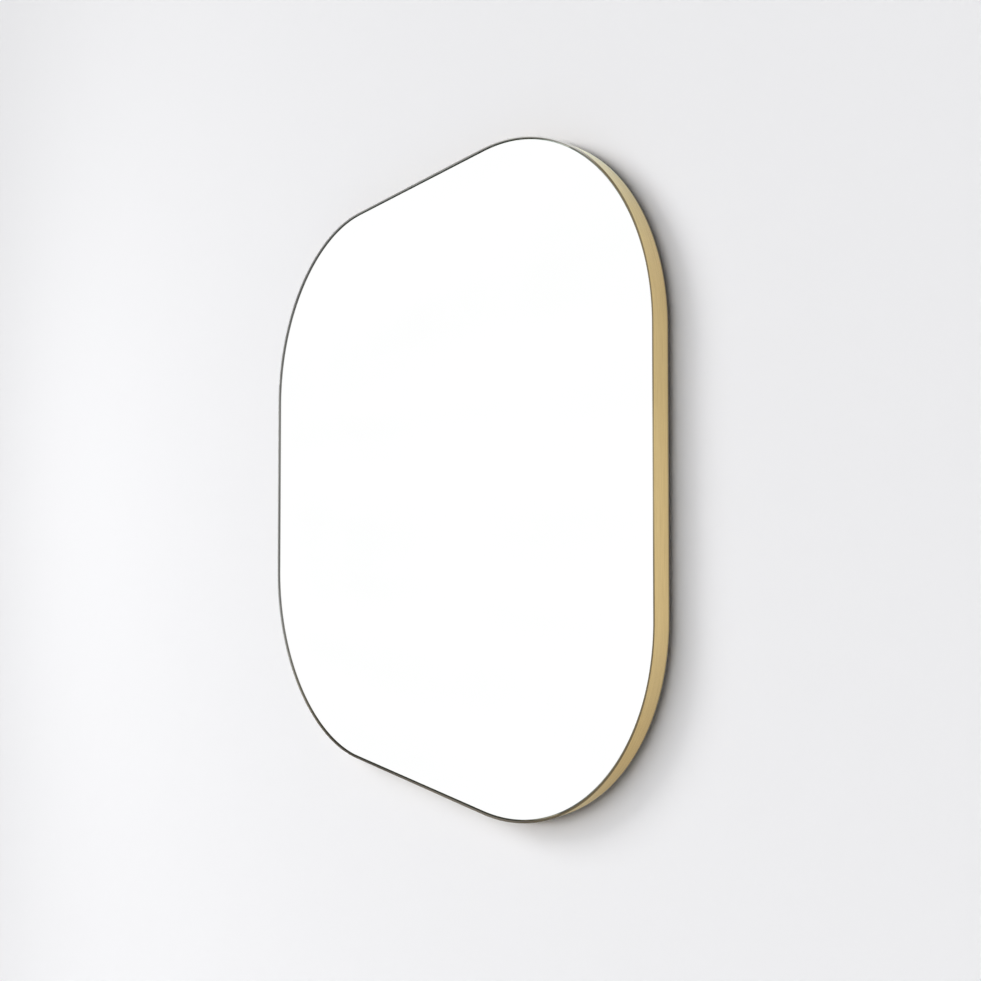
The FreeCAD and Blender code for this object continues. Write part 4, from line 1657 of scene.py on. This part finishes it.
@dataclass
class Studio:
    """The pale wall and floor, the lamps, the white surroundings and the camera.

    Glows are what shiny metal sees; the wall's glow changes with height, which paints shade and light into
    the band's reflections. Heights are spans of z, and the camera's angles are in degrees.
    """

    wall_half_width: float = 4.0
    wall_top: float = 2.4
    wall_tone: Colour = (0.87, 0.87, 0.885)
    # The glow's tints and levels are painted reflection: darker and warmer at the foot, lighter at the crown.
    foot_glow_tint: Colour = (0.95, 0.835, 0.54)
    crown_glow_tint: Colour = (0.83, 0.90, 0.81)
    foot_glow_tint_height: Span = (-0.52, -0.34)
    crown_glow_tint_height: Span = (-0.02, 0.12)
    wall_glow: float = 1.06
    foot_glow: float = 0.60
    top_glow: float = 0.88
    crown_glow_rise: float = 0.22
    foot_glow_height: Span = (-0.52, -0.27)
    top_glow_height: Span = (-0.27, 0.0)
    crown_glow_height: Span = (0.05, 0.16)
    wall_glow_share: float = 0.72
    opening_margin: float = 4.0 * MM
    opening_steps: int = 32
    stand_off: float = 0.3 * MM
    floor_drop: float = 2.4
    floor_reach: float = 4.0
    floor_tone: Colour = (0.86, 0.86, 0.86)
    floor_glow_share: float = 0.75
    floor_fade: Span = (0.2, 0.95)
    floor_fade_at_wall: Span = (-0.15, 0.0)
    ambient: float = 0.07
    room_left: Span = (-0.25, -0.48)
    room_left_glow: float = 1.02
    room_height: Span = (-0.7, 0.7)
    room_glow: Span = (0.62, 0.92)
    camera_place: Point = (0.77994, -0.5693, -0.22059)
    camera_yaw: float = 49.459
    camera_pitch: float = 1.194
    camera_lens: float = 29.879
    camera_sensor: float = 36.0
    camera_clip: float = 0.01
    lamps: Sequence[BroadSky | SoftLight] = (
        BroadSky("window_front", turn=14.0, rise=7.0, spread=24.0, strength=1.10),
        BroadSky("window_middle", turn=36.0, rise=15.0, spread=26.0, strength=0.79),
        BroadSky("window_left", turn=60.0, rise=24.0, spread=22.0, strength=1.91),
        SoftLight("left_lamp", (-1.45, -1.6, -0.15), (-1.45, 0.0, -0.15), size=1.0, power=5.0),
        SoftLight("rear_lamp", (0.0, 1.9, 0.35), (0.0, 0.0, -0.19), size=0.7, power=30.0),
    )

    def wall(self) -> None:
        """Builds the wall in two: round the mirror, and a patch behind it that only the camera sees.

        Light from behind passes the patch, so the mirror's back is lit when it is looked at from there.
        """
        low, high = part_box("frame_band")
        middle, size, margin = (low + high) / 2, high - low, self.opening_margin
        outline = rounded_loop(
            size.x - 2 * margin, size.z - 2 * margin, BrassBand.corner_radius - margin, self.opening_steps)
        opening = [(middle.x + x, middle.z + z) for x, z in outline]
        side, top, foot = self.wall_half_width, self.wall_top, -self.floor_drop
        paint = self.wall_paint()
        sheet = [(-side, foot), (side, foot), (side, top), (-side, top)]
        self.flat_stage("studio_wall", (sheet, opening), paint)
        patch = self.flat_stage("studio_wall_patch", (opening,), paint)
        for rays in ("diffuse", "glossy", "transmission", "shadow"):
            setattr(patch, "visible_" + rays, False)

    def flat_stage(
        self, name: str, outlines: Sequence[Sequence[tuple[float, float]]], material: Material
    ) -> Piece:
        """Builds a flat piece of the stage in the plane of the wall, facing the front.

        Args:
            name: its name.
            outlines: its outline and the outlines of its openings, as x and z.
            material: its paint.

        Returns:
            The piece.
        """
        form = bmesh.new()
        edges = []
        for outline in outlines:
            ring = [form.verts.new((x, self.stand_off, z)) for x, z in outline]
            edges += [form.edges.new((ring[index - 1], ring[index])) for index in range(len(ring))]
        bmesh.ops.triangle_fill(form, use_beauty=True, edges=edges)
        for face in form.faces:
            face.normal_update()
            if face.normal.y > 0:
                face.normal_flip()
        mesh = bpy.data.meshes.new(name)
        form.to_mesh(mesh)
        form.free()
        mesh.materials.append(material)
        piece = link_object(name, mesh)
        return piece

    @staticmethod
    def first_mirrored(graph: Graph) -> Socket:
        """Tells what is seen in a mirror or metal from light that a matt surface has scattered.

        Args:
            graph: the material's or the world's tree.

        Returns:
            1 for what is seen in a mirror or metal, and 0 otherwise.
        """
        path = graph.add("ShaderNodeLightPath").outputs
        direct = graph.maths("LESS_THAN", path["Diffuse Depth"], 0.5)
        return graph.times(graph.maths("MAXIMUM", path["Is Glossy Ray"], path["Is Transmission Ray"]), direct)

    @staticmethod
    def blended(graph: Graph, factor: Socket, first: Socket, second: Socket) -> Socket:
        """Returns the shader that is first at factor 0 and second at factor 1."""
        return graph.output("ShaderNodeMixShader", {0: factor, 1: first, 2: second})

    def wall_paint(self) -> Material:
        """Mixes the wall's matt paint with a glow that shiny metal sees, painted darker and warmer at the
        foot and lighter at the crown, and clear from behind.

        Returns:
            The paint.
        """
        made = bpy.data.materials.new("studio_wall_paint")
        graph = Graph(emptied(made))
        height = graph.parts(graph.add("ShaderNodeTexCoord").outputs["Object"])[2]
        # Painted reflection: the glow's level and tint change with height.
        below = graph.ramp(height, *self.foot_glow_height, self.foot_glow, self.wall_glow)
        fall = graph.ramp(height, *self.top_glow_height, 0.0, self.wall_glow - self.top_glow)
        rise = graph.ramp(height, *self.crown_glow_height, 0.0, self.crown_glow_rise)
        level = graph.maths("SUBTRACT", below, graph.maths("SUBTRACT", fall, rise))
        tone = graph.tint(graph.ramp(height, *self.foot_glow_tint_height), self.foot_glow_tint, self.wall_tone)
        tone = graph.tint(graph.ramp(height, *self.crown_glow_tint_height), tone, self.crown_glow_tint)
        paint = graph.output("ShaderNodeBsdfDiffuse", {"Color": self.wall_tone})
        glow = graph.output("ShaderNodeEmission", {"Color": tone, "Strength": level})
        clear = graph.output("ShaderNodeBsdfTransparent")
        mirrored = graph.times(self.first_mirrored(graph), self.wall_glow_share)
        behind = graph.add("ShaderNodeNewGeometry").outputs["Backfacing"]
        shown = self.blended(graph, behind, self.blended(graph, mirrored, paint, glow), clear)
        graph.add("ShaderNodeOutputMaterial", {"Surface": shown})
        return made

    def floor_paint(self) -> Material:
        """Mixes the floor's paint, which fades into the white round it and is white in the mirror.

        Returns:
            The paint.
        """
        made = bpy.data.materials.new("studio_floor_paint")
        graph = Graph(emptied(made))
        x, y, _ = graph.parts(graph.add("ShaderNodeTexCoord").outputs["Object"])
        squares = [graph.maths("POWER", value, 2.0) for value in (x, y)]
        away = graph.maths("SQRT", graph.maths("ADD", *squares))
        far = graph.ramp(away, *(share * self.floor_reach for share in self.floor_fade))
        fading = graph.maths("MAXIMUM", far, graph.ramp(y, *self.floor_fade_at_wall))
        camera = graph.add("ShaderNodeLightPath").outputs["Is Camera Ray"]
        pale = graph.maths("MULTIPLY_ADD", camera, self.floor_glow_share, self.first_mirrored(graph))
        paint = graph.output("ShaderNodeBsdfDiffuse", {"Color": self.floor_tone})
        white = graph.output("ShaderNodeEmission", {"Color": WHITE, "Strength": 1.0})
        clear = graph.output("ShaderNodeBsdfTransparent")
        shown = self.blended(graph, fading, self.blended(graph, pale, paint, white), clear)
        graph.add("ShaderNodeOutputMaterial", {"Surface": shown})
        return made

    def floor(self) -> None:
        """Builds the floor."""
        corners = [
            (x * self.floor_reach, y * self.floor_reach, -self.floor_drop)
            for x, y in ((-1, -1), (1, -1), (1, 1), (-1, 1))
        ]
        mesh = bpy.data.meshes.new("studio_floor")
        mesh.from_pydata(corners, [], [(0, 1, 2, 3)])
        mesh.materials.append(self.floor_paint())
        link_object("studio_floor", mesh)

    def surroundings(self) -> None:
        """Builds the world: white to the camera, pale in the mirror and dim as a light."""
        world = bpy.context.scene.world = bpy.data.worlds.new("studio_surroundings")
        graph = Graph(emptied(world))
        x, _, z = graph.parts(graph.add("ShaderNodeTexCoord").outputs["Generated"])
        height = graph.ramp(z, *self.room_height, *self.room_glow)
        tone = graph.mix(graph.ramp(x, *self.room_left), height, self.room_left_glow)
        seen = graph.mix(self.first_mirrored(graph), self.ambient, tone)
        camera = graph.add("ShaderNodeLightPath").outputs["Is Camera Ray"]
        inputs = {"Color": WHITE, "Strength": graph.mix(camera, seen, 1.0)}
        graph.add("ShaderNodeOutputWorld", {"Surface": graph.output("ShaderNodeBackground", inputs)})

    def camera(self) -> None:
        """Sets the camera where the photograph was taken from."""
        data = bpy.data.cameras.new("photo_camera")
        data.lens, data.sensor_width, data.clip_start = self.camera_lens, self.camera_sensor, self.camera_clip
        camera = link_object("photo_camera", data)
        camera.location = self.camera_place
        pitch, yaw = math.radians(self.camera_pitch), math.radians(self.camera_yaw)
        camera.rotation_euler = (QUARTER + pitch, 0.0, yaw)
        bpy.context.scene.camera = camera

    def build(self) -> None:
        """Builds the whole stage."""
        self.camera()
        self.wall()
        self.floor()
        self.surroundings()
        for lamp in self.lamps:
            lamp.build()
        bpy.context.scene.view_settings.view_transform = "Standard"


def main() -> None:
    """Builds the mirror from the front to the back, then its stage."""
    logging.basicConfig(level=logging.INFO, format="%(name)s: %(message)s")
    effects = Effects()
    BrassBand(effects).build()
    SilveredGlass(effects).build()
    LaminatedBack(effects).build()
    SolderedFittings(effects).build()
    PanScrews(effects).build()
    HangingRails(effects).build()
    Bumpers(effects).build()
    Studio().build()


if __name__ == "__main__":
    main()
